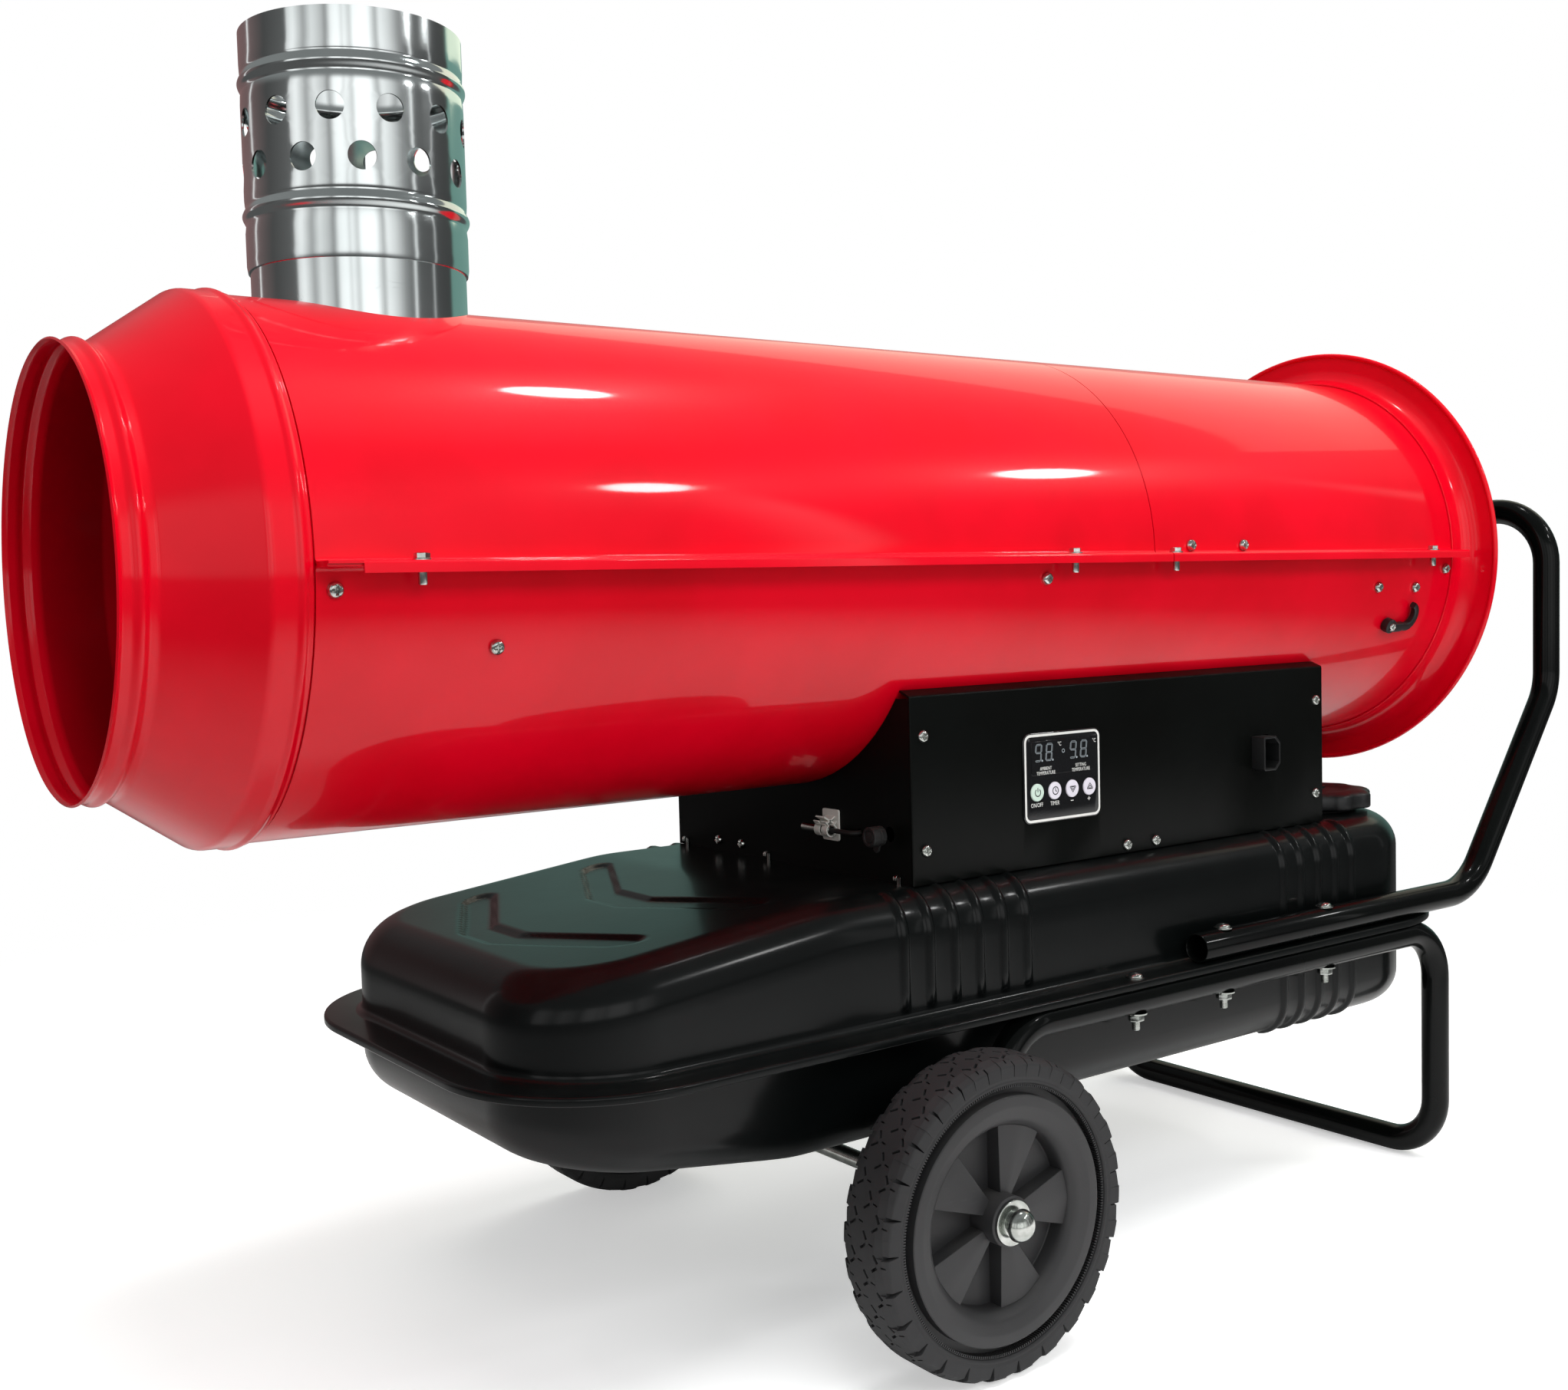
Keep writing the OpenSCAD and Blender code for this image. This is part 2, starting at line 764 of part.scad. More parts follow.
module fuel_filter() {
    place() color("lightgray") translate([filter_x, hose_y, filter_z]) {
        cylinder(d = 30, h = 6);
        translate([0, 0, 6]) cylinder(d = 36, h = 22);
    }
}

module fuel_hose() {
    y_side = pump_w / 2;
    x_in = x_pump + pump_l / 2;
    z_in = barrel_z - 8;
    rise = filter_z + 28 + 16;
    place() color("black") bent_rod([
        [filter_x, hose_y, filter_z + 28], [filter_x, hose_y, rise], [hose_x, hose_y, rise],
        [hose_x, hose_y, z_in], [x_in, hose_y, z_in], [x_in, y_side, z_in]], 8, hose_d);
}

// Control box

module barrel_cut(gap) {
    barrel_axis(x_box - 5) cylinder(r = barrel_r + gap, h = box_l + 10, $fn = 96);
}

module side_screw_places() {
    edge = 11;
    for (p = [
        [x_box + edge, box_top - 27], [x_box + edge + 1, tank_top + 23],
        [x_box_end - edge + 2, box_top - 27], [x_box_end - edge + 1, tank_top + 24],
        [x_box + 207, tank_top + 6], [x_box + 238, tank_top + 6]
    ]) translate([p[0], -box_half, p[1]]) rotate([-90, 0, 0]) children();
}

module front_screw_places() {
    for (y = [87, 56]) translate([x_box, y, tank_top + 8.5]) rotate([0, 90, 0]) children();
}

module control_box() {
    near = -box_half + box_t;
    fold = 24;
    place() color([0.09, 0.1, 0.1]) difference() {
        union() {
            for (x = [x_box, x_box_end - box_t]) translate([x, near, tank_top])
                cube([box_t, box_w - box_t, box_h]);
            translate([x_box, near, tank_top]) cube([box_l, box_w - box_t, box_t]);
            translate([x_box, box_half - box_t, tank_top]) cube([box_l, box_t, box_h]);
            translate([x_box, 0, box_top - box_t]) cube([box_l, box_half, box_t]);
            for (x = [x_box, x_box_end - fold]) translate([x, near, tank_top])
                cube([fold, box_t, box_h - box_t - fit]);
            translate([x_box, near, tank_top]) cube([box_l, box_t, 12]);
        }
        translate([x_box - 1, -box_w, box_top - box_t - fit]) cube([box_l + 2, box_w, box_h]);
        barrel_cut(fit);
        side_screw_places() cylinder(d = screw_d + 2 * slack, h = 10);
        front_screw_places() cylinder(d = screw_d + 2 * slack, h = 10, center = true);
        translate([x_box, hole_y, probe_z]) rotate([0, 90, 0]) cylinder(d = lead_d + 2, h = 10, center = true);
        translate([x_box, socket_y, socket_z]) rotate([0, 90, 0])
            cylinder(d = socket_d - 2 + 2 * fit, h = 10, center = true);
    }
}

module side_panel() {
    place() color([0.09, 0.1, 0.1]) difference() {
        union() {
            translate([x_box, -box_half, tank_top]) cube([box_l, box_t, box_h]);
            translate([x_box, -box_half, box_top - box_t]) cube([box_l, box_half, box_t]);
        }
        barrel_cut(fit);
        side_screw_places() cylinder(d = screw_d + 2 * slack, h = 10, center = true);
        translate([panel_x, -box_half + 5, panel_z])
            cube([panel_w - 8 + 2 * fit, 20, panel_h - 8 + 2 * fit], center = true);
        translate([inlet_x, -box_half + 5, inlet_z])
            cube([inlet_w + 2 * fit, 20, inlet_h + 2 * fit], center = true);
    }
}

module control_board() {
    board_t = 1.6;
    y = -box_half - panel_t + panel_depth + fit;
    place() color("darkgreen") {
        translate([panel_x - panel_w / 2 + 6, y, panel_z - panel_h / 2 + 6])
            cube([panel_w - 12, board_t, panel_h - 12]);
        for (x = [-20, 14]) translate([panel_x + x, y + board_t, panel_z - 16]) cube([12, 10, 16]);
    }
}

module ignition_transformer() {
    place() color([0.2, 0.2, 0.22]) translate([x_box + 60, box_half - box_t - fit - 62, tank_top + box_t]) {
        cube([100, 62, 44]);
        for (x = [24, 76]) translate([x, 31, 44]) cylinder(d = 14, h = 12);
    }
}

module key_places() {
    for (i = [0:3]) translate([first_key_x + i * key_pitch, 0, key_z]) children();
}

module display_panel() {
    y_back = -box_half - panel_t + panel_depth;
    place() color([0.05, 0.05, 0.06]) difference() {
        union() {
            translate([panel_x, 0, panel_z]) slab_y(-box_half, panel_t) rounded_rect(panel_w, panel_h, panel_corner);
            translate([panel_x - panel_w / 2 + 4, -box_half - panel_t / 2, panel_z - panel_h / 2 + 4])
                cube([panel_w - 8, panel_depth - panel_t / 2, panel_h - 8]);
        }
        key_places() translate([0, y_back + 2, 0]) rotate([90, 0, 0])
            cylinder(d = key_d + 2 * slack, h = panel_depth + 4);
        translate([panel_x - window_w / 2 - fit, -box_half - panel_t - 1, window_z - window_h / 2 - fit])
            cube([window_w + 2 * fit, 1 + 2 + fit, window_h + 2 * fit]);
    }
}

module display_window() {
    place() color([0.1, 0.1, 0.12]) translate([panel_x, 0, window_z])
        slab_y(-box_half - panel_t + 2, 2.2) rounded_rect(window_w, window_h, 1.5);
}

module key(i, tint) {
    proud = 0.9;
    place() color(tint) translate([first_key_x + i * key_pitch, -box_half - panel_t - proud, key_z])
        rotate([-90, 0, 0]) {
            cylinder(d = key_d, h = proud + 5);
            translate([0, 0, proud + 5]) cylinder(d = 4, h = panel_depth - 5 - key_travel);
        }
}

module key_power() {
    key(0, [0.75, 0.9, 0.8]);
}

module key_timer() {
    key(1, "white");
}

module key_down() {
    key(2, "white");
}

module key_up() {
    key(3, "white");
}

module inlet_outline(grow) {
    w = inlet_w + 2 * grow;
    h = inlet_h + 2 * grow;
    cut = 5;
    polygon([
        [-w / 2, -h / 2], [w / 2 - cut, -h / 2], [w / 2, -h / 2 + cut],
        [w / 2, h / 2 - cut], [w / 2 - cut, h / 2], [-w / 2, h / 2]
    ]);
}

module power_inlet() {
    wall = 1.8;
    body_d = 14;
    pin_out = 9;
    place() translate([inlet_x, 0, inlet_z]) {
        color([0.08, 0.08, 0.09]) difference() {
            slab_y(-box_half + body_d, inlet_out + body_d) inlet_outline(0);
            slab_y(-box_half + body_d - 4, inlet_out + body_d) inlet_outline(-wall);
        }
        color("silver") for (p = [[4, 0], [-3, 7], [-3, -7]])
            translate([p[0] - 2, -box_half + body_d - 4 - pin_out - 1, p[1] - 1]) cube([4, pin_out + 1, 2]);
    }
}

// Temperature probe on the front of the box

module probe_clip() {
    base_w = 18;
    base_h = 22;
    base_t = 1.5;
    jaw = probe_d / 2 + 1.2;
    y0 = -48 - base_w;
    x = x_box - probe_out;
    place() color("whitesmoke") difference() {
        union() {
            translate([x_box - base_t, y0, probe_z - 8]) cube([base_t, base_w, base_h]);
            translate([x, y0 + 2, probe_z]) rotate([-90, 0, 0]) cylinder(r = jaw, h = base_w - 2);
            translate([x, y0 + 2, probe_z - 2]) cube([probe_out - base_t / 2, base_w - 4, 4]);
            for (lift = [0, 4]) translate([x - 3, y0 + 6, probe_z + jaw - 1 + lift])
                rotate([0, 0, 0]) cube([probe_out + 3 - base_t / 2, base_w - 8, 1.4]);
        }
        translate([x, y0 - 5, probe_z]) rotate([-90, 0, 0]) cylinder(d = probe_d + 2 * slack, h = base_w + 10);
    }
}

module probe() {
    y0 = -64;
    place() color("lightgray") translate([x_box - probe_out, y0, probe_z]) rotate([-90, 0, 0]) {
        cylinder(d = probe_d, h = 32);
        translate([0, 0, 32]) cylinder(d1 = probe_d, d2 = probe_d - 2.4, h = 2);
    }
}

module probe_lead() {
    x = x_box - probe_out;
    place() color("black") bent_rod([
        [x, -64, probe_z], [x, hole_y, probe_z], [x_box + 20, hole_y, probe_z]], 5, lead_d);
}

module probe_socket() {
    r = socket_d / 2;
    place() color("silver") translate([x_box, socket_y, socket_z]) rotate([0, -90, 0]) {
        difference() {
            union() {
                cylinder(r = r + 2.5, h = 2, $fn = 6);
                translate([0, 0, 2]) cylinder(r = r + 0.6, h = 5);
                translate([0, 0, 7]) cylinder(r = r - 1.6, h = 6);
                translate([0, 0, -12]) cylinder(r = r - 1, h = 12);
                translate([0, 0, -box_t - fit - 3]) cylinder(r = r + 2, h = 3, $fn = 6);
            }
            translate([0, 0, 5]) cylinder(r = r - 3, h = 9);
        }
    }
}

module socket_cap() {
    r = socket_d / 2 + 0.8;
    depth = 11;
    place() color([0.12, 0.12, 0.12]) translate([x_box - 7 - fit, socket_y, socket_z]) rotate([0, -90, 0]) {
        difference() {
            union() {
                cylinder(r = r, h = depth);
                translate([0, 0, 1]) rotate([0, 0, 0]) translate([-r - 4, -3, 0]) cube([6, 6, 1.8]);
            }
            translate([0, 0, -1]) cylinder(r = socket_d / 2 - 1.6 + slack, h = depth - 3);
            translate([0, 0, depth - 0.6]) ring(r - 1.2, r - 1.9, 2);
        }
    }
}

// Tank

// A disc with a rounded upper edge, whose top lies at z = 0
module soft_disc(r, edge) {
    rotate_extrude($fn = 32) {
        translate([0, -edge]) square([r - edge, edge]);
        intersection() {
            translate([r - edge, -edge]) circle(edge, $fn = 32);
            translate([0, -edge]) square([r, edge]);
        }
    }
}

// Upper half of the tank as a solid, grown by g on every wall
module tank_upper_form(g) {
    c = tank_corner + g;
    e = tank_edge + g;
    drop = tan(tank_slope) * (slope_x - x_tank - tank_corner);
    hull() {
        both_sides() {
            translate([x_tank_end - tank_corner, tank_half - tank_corner, tank_top + g]) soft_disc(c, e);
            translate([slope_x, tank_half - tank_edge, tank_top - tank_edge]) sphere(e, $fn = 32);
            translate([x_tank + tank_corner, tank_half - tank_corner, tank_top - drop + g])
                rotate([0, -tank_slope, 0]) soft_disc(c, e);
            for (x = [x_tank + tank_corner, x_tank_end - tank_corner])
                translate([x, tank_half - tank_corner, seam_z]) cylinder(r = c, h = 1, $fn = 32);
        }
    }
}

// Half section of the lower shell: a wall, a rounded edge of radius e and the bottom
module pan_section(reach, e, h) {
    translate([0, e]) square([reach, h - e]);
    square([reach - e, e]);
    translate([reach - e, e]) circle(e);
}

// Lower half of the tank as a solid, grown by g on every wall
module tank_lower_form(g) {
    c = tank_corner + g;
    e = tank_edge + g;
    h = seam_z - tank_clear + g;
    l = tank_l / 2 - tank_corner;
    w = tank_half - tank_corner;
    translate([(x_tank + x_tank_end) / 2, 0, tank_clear - g]) {
        slab_x(-l, 2 * l) for (side = [0, 1]) mirror([side, 0]) pan_section(w + c, e, h);
        for (end = [0, 1]) mirror([end, 0, 0]) {
            translate([l, w, 0]) rotate([90, 0, 0]) linear_extrude(2 * w) pan_section(c, e, h);
            for (side = [0, 1]) mirror([0, side, 0])
                translate([l, w, 0]) rotate_extrude(angle = 90) pan_section(c, e, h);
        }
    }
}

module flange_plan(grow) {
    translate([(x_tank + x_tank_end) / 2, 0])
        rounded_rect(tank_l + 2 * grow, tank_w + 2 * grow, tank_corner + grow);
}

// Section of the tank, grown by the rib height; part of it shows as each rib
module rib_section(low) {
    box_overhang = tank_half - box_half - 1;
    w = tank_half + rib_h;
    e = tank_edge + rib_h;
    z_far = low ? tank_clear - rib_h : tank_top + rib_h;
    z_mid = low ? z_far + e : z_far - e;
    reach = low ? 44 : box_overhang;
    intersection() {
        union() {
            translate([-w, min(z_mid, seam_z)]) square([2 * w, abs(z_mid - seam_z)]);
            translate([-w + e, min(z_far, z_mid)]) square([2 * (w - e), e]);
            for (side = [-1, 1]) translate([side * (w - e), z_mid]) circle(e);
        }
        for (side = [-1, 1]) translate([side > 0 ? tank_half - reach : -w - 1, 0])
            square([reach + rib_h + 1, barrel_z]);
    }
}

module ribs(group, low) {
    rib_w = 7;
    for (i = [0:group[1] - 1]) slab_x(group[0] + i * rib_pitch - rib_w / 2, rib_w) rib_section(low);
}

module chevron(x_tip) {
    arm = 26;
    sweep = 45;
    reach = 110;
    polygon([
        [x_tip, 0], [x_tip + sweep, reach], [x_tip + sweep + arm, reach], [x_tip + arm, 0],
        [x_tip + sweep + arm, -reach], [x_tip + sweep, -reach]
    ]);
}

module tank_upper() {
    press = 1.2;
    place() color([0.12, 0.13, 0.13]) difference() {
        union() {
            difference() {
                union() {
                    tank_upper_form(0);
                    ribs(front_ribs, false);
                    ribs(rear_ribs, false);
                }
                tank_upper_form(-tank_t);
                translate([x_tank - 50, -tank_w, seam_z - 20]) cube([tank_l + 100, 2 * tank_w, 20]);
                translate([slope_x, 0, tank_top]) rotate([0, -tank_slope, 0]) for (x = [-176, -80])
                    translate([0, 0, -press]) linear_extrude(20) chevron(x);
            }
            translate([0, 0, seam_z]) linear_extrude(flange_t) difference() {
                flange_plan(flange_w);
                flange_plan(-tank_t / 2);
            }
        }
        translate([neck_x, neck_y, tank_top - 30]) cylinder(r = neck_r + slack, h = 60);
        frame_bolt_places() cylinder(d = bolt_d + 2 * slack, h = 20, center = true);
    }
}

module tank_lower() {
    place() color([0.12, 0.13, 0.13]) difference() {
        union() {
            difference() {
                union() {
                    tank_lower_form(0);
                    ribs(rear_ribs, true);
                }
                tank_lower_form(-tank_t);
                translate([x_tank - 50, -tank_w, seam_z]) cube([tank_l + 100, 2 * tank_w, 20]);
            }
            translate([0, 0, seam_z - flange_t]) linear_extrude(flange_t) difference() {
                flange_plan(flange_w);
                flange_plan(-tank_t / 2);
            }
        }
        translate([drain_x, 0, tank_clear - 10]) cylinder(d = drain_d + 2 * slack, h = 40);
        frame_bolt_places() cylinder(d = bolt_d + 2 * slack, h = 20, center = true);
    }
}

drain_x = x_tank_end - 120;
drain_d = 14;

module drain_plug() {
    place() color("goldenrod") translate([drain_x, 0, tank_clear]) {
        translate([0, 0, -7]) cylinder(d = 20, h = 5.5, $fn = 6);
        translate([0, 0, -1.5]) cylinder(d = 24, h = 1.5);
        cylinder(d = drain_d, h = 8);
    }
}

module filler_neck() {
    seat = 1.2;
    place() color([0.16, 0.17, 0.17]) translate([neck_x, neck_y, tank_top]) difference() {
        union() {
            translate([0, 0, -16]) cylinder(r = neck_r, h = 16 + neck_up);
            cylinder(r = neck_r + seat, h = 1.5);
        }
        translate([0, 0, -20]) cylinder(r = neck_r - neck_wall, h = 20 + neck_up + 1);
    }
}

module filler_strainer() {
    r = neck_r - neck_wall - slack;
    depth = 70;
    rim = 1;
    holes = 16;
    place() color("khaki") translate([neck_x, neck_y, tank_top + neck_up - depth]) difference() {
        cylinder(r = r, h = depth - rim);
        translate([0, 0, 1.5]) cylinder(r = r - 1.5, h = depth);
        for (i = [0:holes - 1], z = [14, 30]) rotate([0, 0, i * 360 / holes]) translate([r - 4, 0, z])
            rotate([0, 90, 0]) cylinder(d = 7, h = 8);
    }
}

module cap_gasket() {
    place() color("black") translate([neck_x, neck_y, tank_top + neck_up])
        ring(neck_r, neck_r - neck_wall - 1, gasket_t);
}

module tank_cap() {
    lobes = 10;
    r = cap_d / 2;
    lobe_r = 9;
    top = cap_h + 3;
    skirt = 3;
    place() color([0.14, 0.15, 0.15]) translate([neck_x, neck_y, tank_top]) difference() {
        union() {
            translate([0, 0, skirt]) linear_extrude(cap_h - 2) union() {
                circle(r - 5);
                for (i = [0:lobes - 1]) rotate([0, 0, i * 360 / lobes]) translate([r - lobe_r, 0]) circle(lobe_r);
            }
            translate([0, 0, top - 2]) cylinder(r1 = r - 5, r2 = r - 9, h = 2);
        }
        translate([0, 0, skirt - 1]) cylinder(r = neck_r + cap_room, h = neck_up + gasket_t - skirt + 1);
    }
}

// Frame and handle

module frame_bolt_places() {
    both_sides() for (x = bolt_stations) translate([x, rail_y, seam_z]) children();
}

// The sloping runs rise 4 for every 3 that they go along
slope_angle = acos(0.6);

module stand_half() {
    past_axle = 15;
    foot = tube_d / 2;
    cut = frame_bend * tan(slope_angle / 2);
    knee = (rail_z - wheel_r) * 0.75;
    tube_then(rail_y - frame_bend, frame_bend, 90)
        rotate([0, 0, -90]) tube_then(rail_z - foot - 2 * frame_bend, frame_bend, 90)
            tube_then(leg_back - frame_bend - knee - cut, frame_bend, slope_angle)
                linear_extrude((rail_z - wheel_r) / 0.8 - cut + past_axle) tube_section();
}

module stand_frame() {
    place() color([0.13, 0.14, 0.14]) difference() {
        both_sides() translate([leg_back, 0, tube_d / 2]) rotate([-90, 0, 0]) rotate([0, 0, -90])
            stand_half();
        frame_bolt_places() translate([0, 0, -40]) cylinder(d = bolt_d + 2 * slack, h = 40);
        across(0, -track / 2, wheel_r) cylinder(d = axle_d + 2 * slack, h = track);
    }
}

module handle_half() {
    lean = 90 - slope_angle;
    cut_high = handle_bend * tan(lean / 2);
    cut_low = handle_low_bend * tan(slope_angle / 2);
    x_low = grip_back - handle_rise * 0.75;
    tube_then(rail_y - handle_bend, handle_bend, 90)
        rotate([0, 0, 90]) tube_then(
            grip_height - handle_z - handle_rise - handle_bend - cut_high, handle_bend, lean)
            tube_then(handle_rise / 0.8 - cut_high - cut_low, handle_low_bend, slope_angle)
                linear_extrude(x_low - cut_low - handle_front) tube_section();
}

module handle() {
    place() color([0.13, 0.14, 0.14]) difference() {
        both_sides() translate([grip_back, 0, grip_height]) rotate([-90, 0, 0]) rotate([0, 0, 90])
            handle_half();
        both_sides() for (i = [1, 2]) translate([bolt_stations[i], rail_y, seam_z])
            cylinder(d = bolt_d + 2 * slack, h = 50);
    }
}

module axle() {
    place() color("silver") across(0, -track / 2 - washer_t - 8, wheel_r)
        cylinder(d = axle_d, h = track + 2 * washer_t + 16);
}

// Wheels: built about z, with z = 0 on the inner face

module at_wheel(side) {
    translate([0, side * (track / 2 - wheel_w), wheel_r]) rotate([side > 0 ? -90 : 90, 0, 0]) children();
}

module tyre() {
    tread = wheel_r;
    shoulder = 4;
    lip = 3;
    rotate_extrude($fn = 128) polygon([
        [rim_r, lip], [rim_r + 4, 0], [tread - shoulder, 0], [tread - 1, shoulder + 1], [tread, shoulder + 6],
        [tread, wheel_w - shoulder - 6], [tread - 1, wheel_w - shoulder - 1], [tread - shoulder, wheel_w],
        [rim_r + 4, wheel_w], [rim_r, wheel_w - lip]
    ]);
}

module spoke_plan(r) {
    half = 90 / spokes;
    circle(hub_r);
    intersection() {
        circle(r);
        for (i = [0:spokes - 1]) rotate([0, 0, i * 360 / spokes])
            polygon([[0, 0], [2 * r * cos(half), -2 * r * sin(half)], [2 * r * cos(half), 2 * r * sin(half)]]);
    }
}

module rim() {
    dish = rim_r - 28;
    web = 3;
    recess = 8;
    hub_over = 1;
    mid = wheel_w / 2;
    bead_in = rim_r - 7.5;
    half = [
        [dish, mid], [dish, wheel_w - recess], [dish + 3, wheel_w - recess + 3],
        [dish + 9, wheel_w - 2.5], [dish + 14, wheel_w - 1], [bead_in, wheel_w - 1],
        [bead_in, wheel_w - 3], [rim_r, wheel_w - 3], [rim_r, mid]
    ];
    far_half = [for (i = [len(half) - 2:-1:1]) [half[i][0], wheel_w - half[i][1]]];
    difference() {
        union() {
            rotate_extrude($fn = 96) polygon(concat(half, far_half));
            translate([0, 0, mid - web / 2]) cylinder(r = dish + 2, h = web);
            translate([0, 0, recess]) linear_extrude(wheel_w - 2 * recess) spoke_plan(dish + 1);
            translate([0, 0, -fit]) cylinder(r = hub_r, h = wheel_w + hub_over + fit);
        }
        translate([0, 0, -2]) cylinder(r = axle_d / 2 + running, h = wheel_w + 6);
    }
}

module wheel_rim_left() {
    place() color([0.3, 0.3, 0.31]) at_wheel(-1) rim();
}

module wheel_rim_right() {
    place() color([0.3, 0.3, 0.31]) at_wheel(1) rim();
}

module tyre_left() {
    place() color([0.25, 0.25, 0.26]) at_wheel(-1) tyre();
}

module tyre_right() {
    place() color([0.25, 0.25, 0.26]) at_wheel(1) tyre();
}

module wheel_washers() {
    hub_face = track / 2 + 1 + fit;
    inner = track / 2 - wheel_w - 2 * fit;
    place() color("silver") both_sides() {
        across(0, hub_face, wheel_r) ring(washer_r, axle_d / 2 + slack, washer_t);
        across(0, rail_y + tube_d / 2 + fit, wheel_r) ring(9, axle_d / 2 + slack, inner - rail_y - tube_d / 2 - fit);
    }
}

module axle_caps() {
    start = track / 2 + 1 + fit + washer_t;
    neck = 5;
    dome = cap_nut_l - neck;
    place() color("silver") both_sides() across(0, start, wheel_r) difference() {
        union() {
            cylinder(r = 8.5, h = neck);
            translate([0, 0, neck]) rotate_extrude() intersection() {
                scale([1, 1]) translate([0, 0]) circle(10.5);
                square([10.5, dome]);
            }
        }
        translate([0, 0, -1]) cylinder(d = axle_d + 2 * slack, h = neck + 5);
    }
}

// Cable hook on the barrel

hook_x = x_split + 296;
hook_h = -59;
hook_t = 7;

module at_hook() {
    a = asin(hook_h / barrel_r);
    translate([hook_x, 0, barrel_z]) rotate([-a, 0, 0]) translate([0, -barrel_r - fit, 0]) rotate([90, 0, 0]) children();
}

module hook_screw_hole() {
    at_hook() cylinder(d = screw_d + 2 * slack, h = 20, center = true);
}

module cable_hook() {
    r = 10;
    reach = 21;
    place() color([0.1, 0.1, 0.1]) at_hook() difference() {
        union() {
            linear_extrude(hook_t) {
                circle(5.5);
                translate([0, -5]) square([reach, 8]);
                translate([reach, r - 1.5]) intersection() {
                    difference() {
                        circle(r + 3.5);
                        circle(r - 3.5);
                    }
                    polygon([[0, 0], [-2, -40], [40, -40], [40, 40], [-2, 12]]);
                }
            }
        }
        translate([0, 0, -1]) cylinder(d = screw_d + 2 * slack, h = 20);
    }
}

// Fasteners

module pan_screw(head_d, l) {
    cylinder(d = head_d, h = 1.2);
    translate([0, 0, 1.2]) cylinder(d1 = head_d, d2 = head_d * 0.6, h = 1.4);
    translate([0, 0, -l]) cylinder(d = screw_d, h = l);
}

module shell_fasteners() {
    head = 9;
    place() color("silver") {
        both_sides() for (s = shell_screws) screw_at(s) translate([0, 0, barrel_r + fit + 0.2]) pan_screw(head, 7);
        both_sides() for (x = lip_bolt_stations) translate([x, barrel_r + lip_w / 2, barrel_z]) {
            translate([0, 0, shell_t]) cylinder(d = 10, h = 1);
            translate([0, 0, shell_t + 1]) cylinder(d = 8, h = 3, $fn = 6);
            translate([0, 0, -12]) cylinder(d = lip_bolt_d, h = 12 + shell_t);
            translate([0, 0, -shell_t - 4]) cylinder(d = 8.6, h = 4, $fn = 6);
        }
        guard_screw_places() translate([0, 0, shell_t + fit + 1.5 + 1.5]) pan_screw(8, 16);
        at_hook() translate([0, 0, hook_t]) pan_screw(7, hook_t + 6);
    }
}

module panel_screws() {
    place() color("silver") {
        side_screw_places() mirror([0, 0, 1]) pan_screw(8.5, 8);
        front_screw_places() mirror([0, 0, 1]) pan_screw(7.5, 6);
    }
}

module frame_bolts() {
    head = 11;
    low = rail_z - tube_d / 2;
    place() color("silver") both_sides() for (i = [0:2]) translate([bolt_stations[i], rail_y, 0]) {
        high = i == 0 ? seam_z + flange_t : handle_z + tube_d / 2;
        translate([0, 0, low - 12]) cylinder(d = bolt_d, h = high - low + 12);
        translate([0, 0, high]) cylinder(d = head, h = 1);
        translate([0, 0, high + 1]) cylinder(d1 = head, d2 = head * 0.5, h = 2.4);
        translate([0, 0, low - 5.5]) cylinder(d = 11.5, h = 5.3, $fn = 6);
    }
}

outlet_cone();
upper_shell_front();
upper_shell_rear();
lower_shell();
inlet_bell();
fan_guard();
flue_stub();
draft_pipe();
heat_exchanger();
combustion_chamber();
exchanger_feet();
burner_tube();
flame_disc();
nozzle_holder();
ignition_electrodes();
motor();
motor_bracket();
motor_shaft();
fan();
oil_pump();
fuel_solenoid();
fuel_pipe();
fuel_filter();
fuel_hose();
control_box();
side_panel();
control_board();
ignition_transformer();
display_panel();
display_window();
key_power();
key_timer();
key_down();
key_up();
power_inlet();
probe_clip();
probe();
probe_lead();
probe_socket();
socket_cap();
tank_upper();
tank_lower();
filler_neck();
filler_strainer();
cap_gasket();
tank_cap();
drain_plug();
stand_frame();
handle();
axle();
wheel_rim_left();
wheel_rim_right();
tyre_left();
tyre_right();
wheel_washers();
axle_caps();
cable_hook();
shell_fasteners();
panel_screws();
frame_bolts();
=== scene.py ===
"""Looks of an indirect diesel heater on a two-wheeled cart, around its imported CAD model.

Shapes are worked out in millimetres in the machine's own frame: x runs back from the wheel
axle, y is zero in the middle plane with the control panel at -y, and z is zero on the floor.
Piece.build() moves them into the model's frame, in metres.
"""

import logging
import math
from collections.abc import Callable, Iterator
from contextlib import contextmanager
from dataclasses import dataclass
from enum import Enum

import bmesh
import bpy
import numpy as np
from bpy.types import ID, Material, Mesh, Node, NodeOutputs, NodeSocket, NodeTree, Object
from mathutils import Matrix, Vector


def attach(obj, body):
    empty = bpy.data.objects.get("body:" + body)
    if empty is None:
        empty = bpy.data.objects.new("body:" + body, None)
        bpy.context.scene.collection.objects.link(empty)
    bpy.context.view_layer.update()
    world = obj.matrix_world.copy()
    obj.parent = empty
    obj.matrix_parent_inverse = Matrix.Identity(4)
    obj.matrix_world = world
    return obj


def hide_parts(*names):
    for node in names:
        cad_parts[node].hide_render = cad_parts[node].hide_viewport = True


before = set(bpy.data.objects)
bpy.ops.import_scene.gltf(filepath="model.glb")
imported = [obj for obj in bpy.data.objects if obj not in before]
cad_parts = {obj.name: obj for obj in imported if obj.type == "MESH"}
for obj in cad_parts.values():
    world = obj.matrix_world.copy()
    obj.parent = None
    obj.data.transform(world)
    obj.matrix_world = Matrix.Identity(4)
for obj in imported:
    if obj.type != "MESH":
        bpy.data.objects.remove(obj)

log = logging.getLogger("heater")
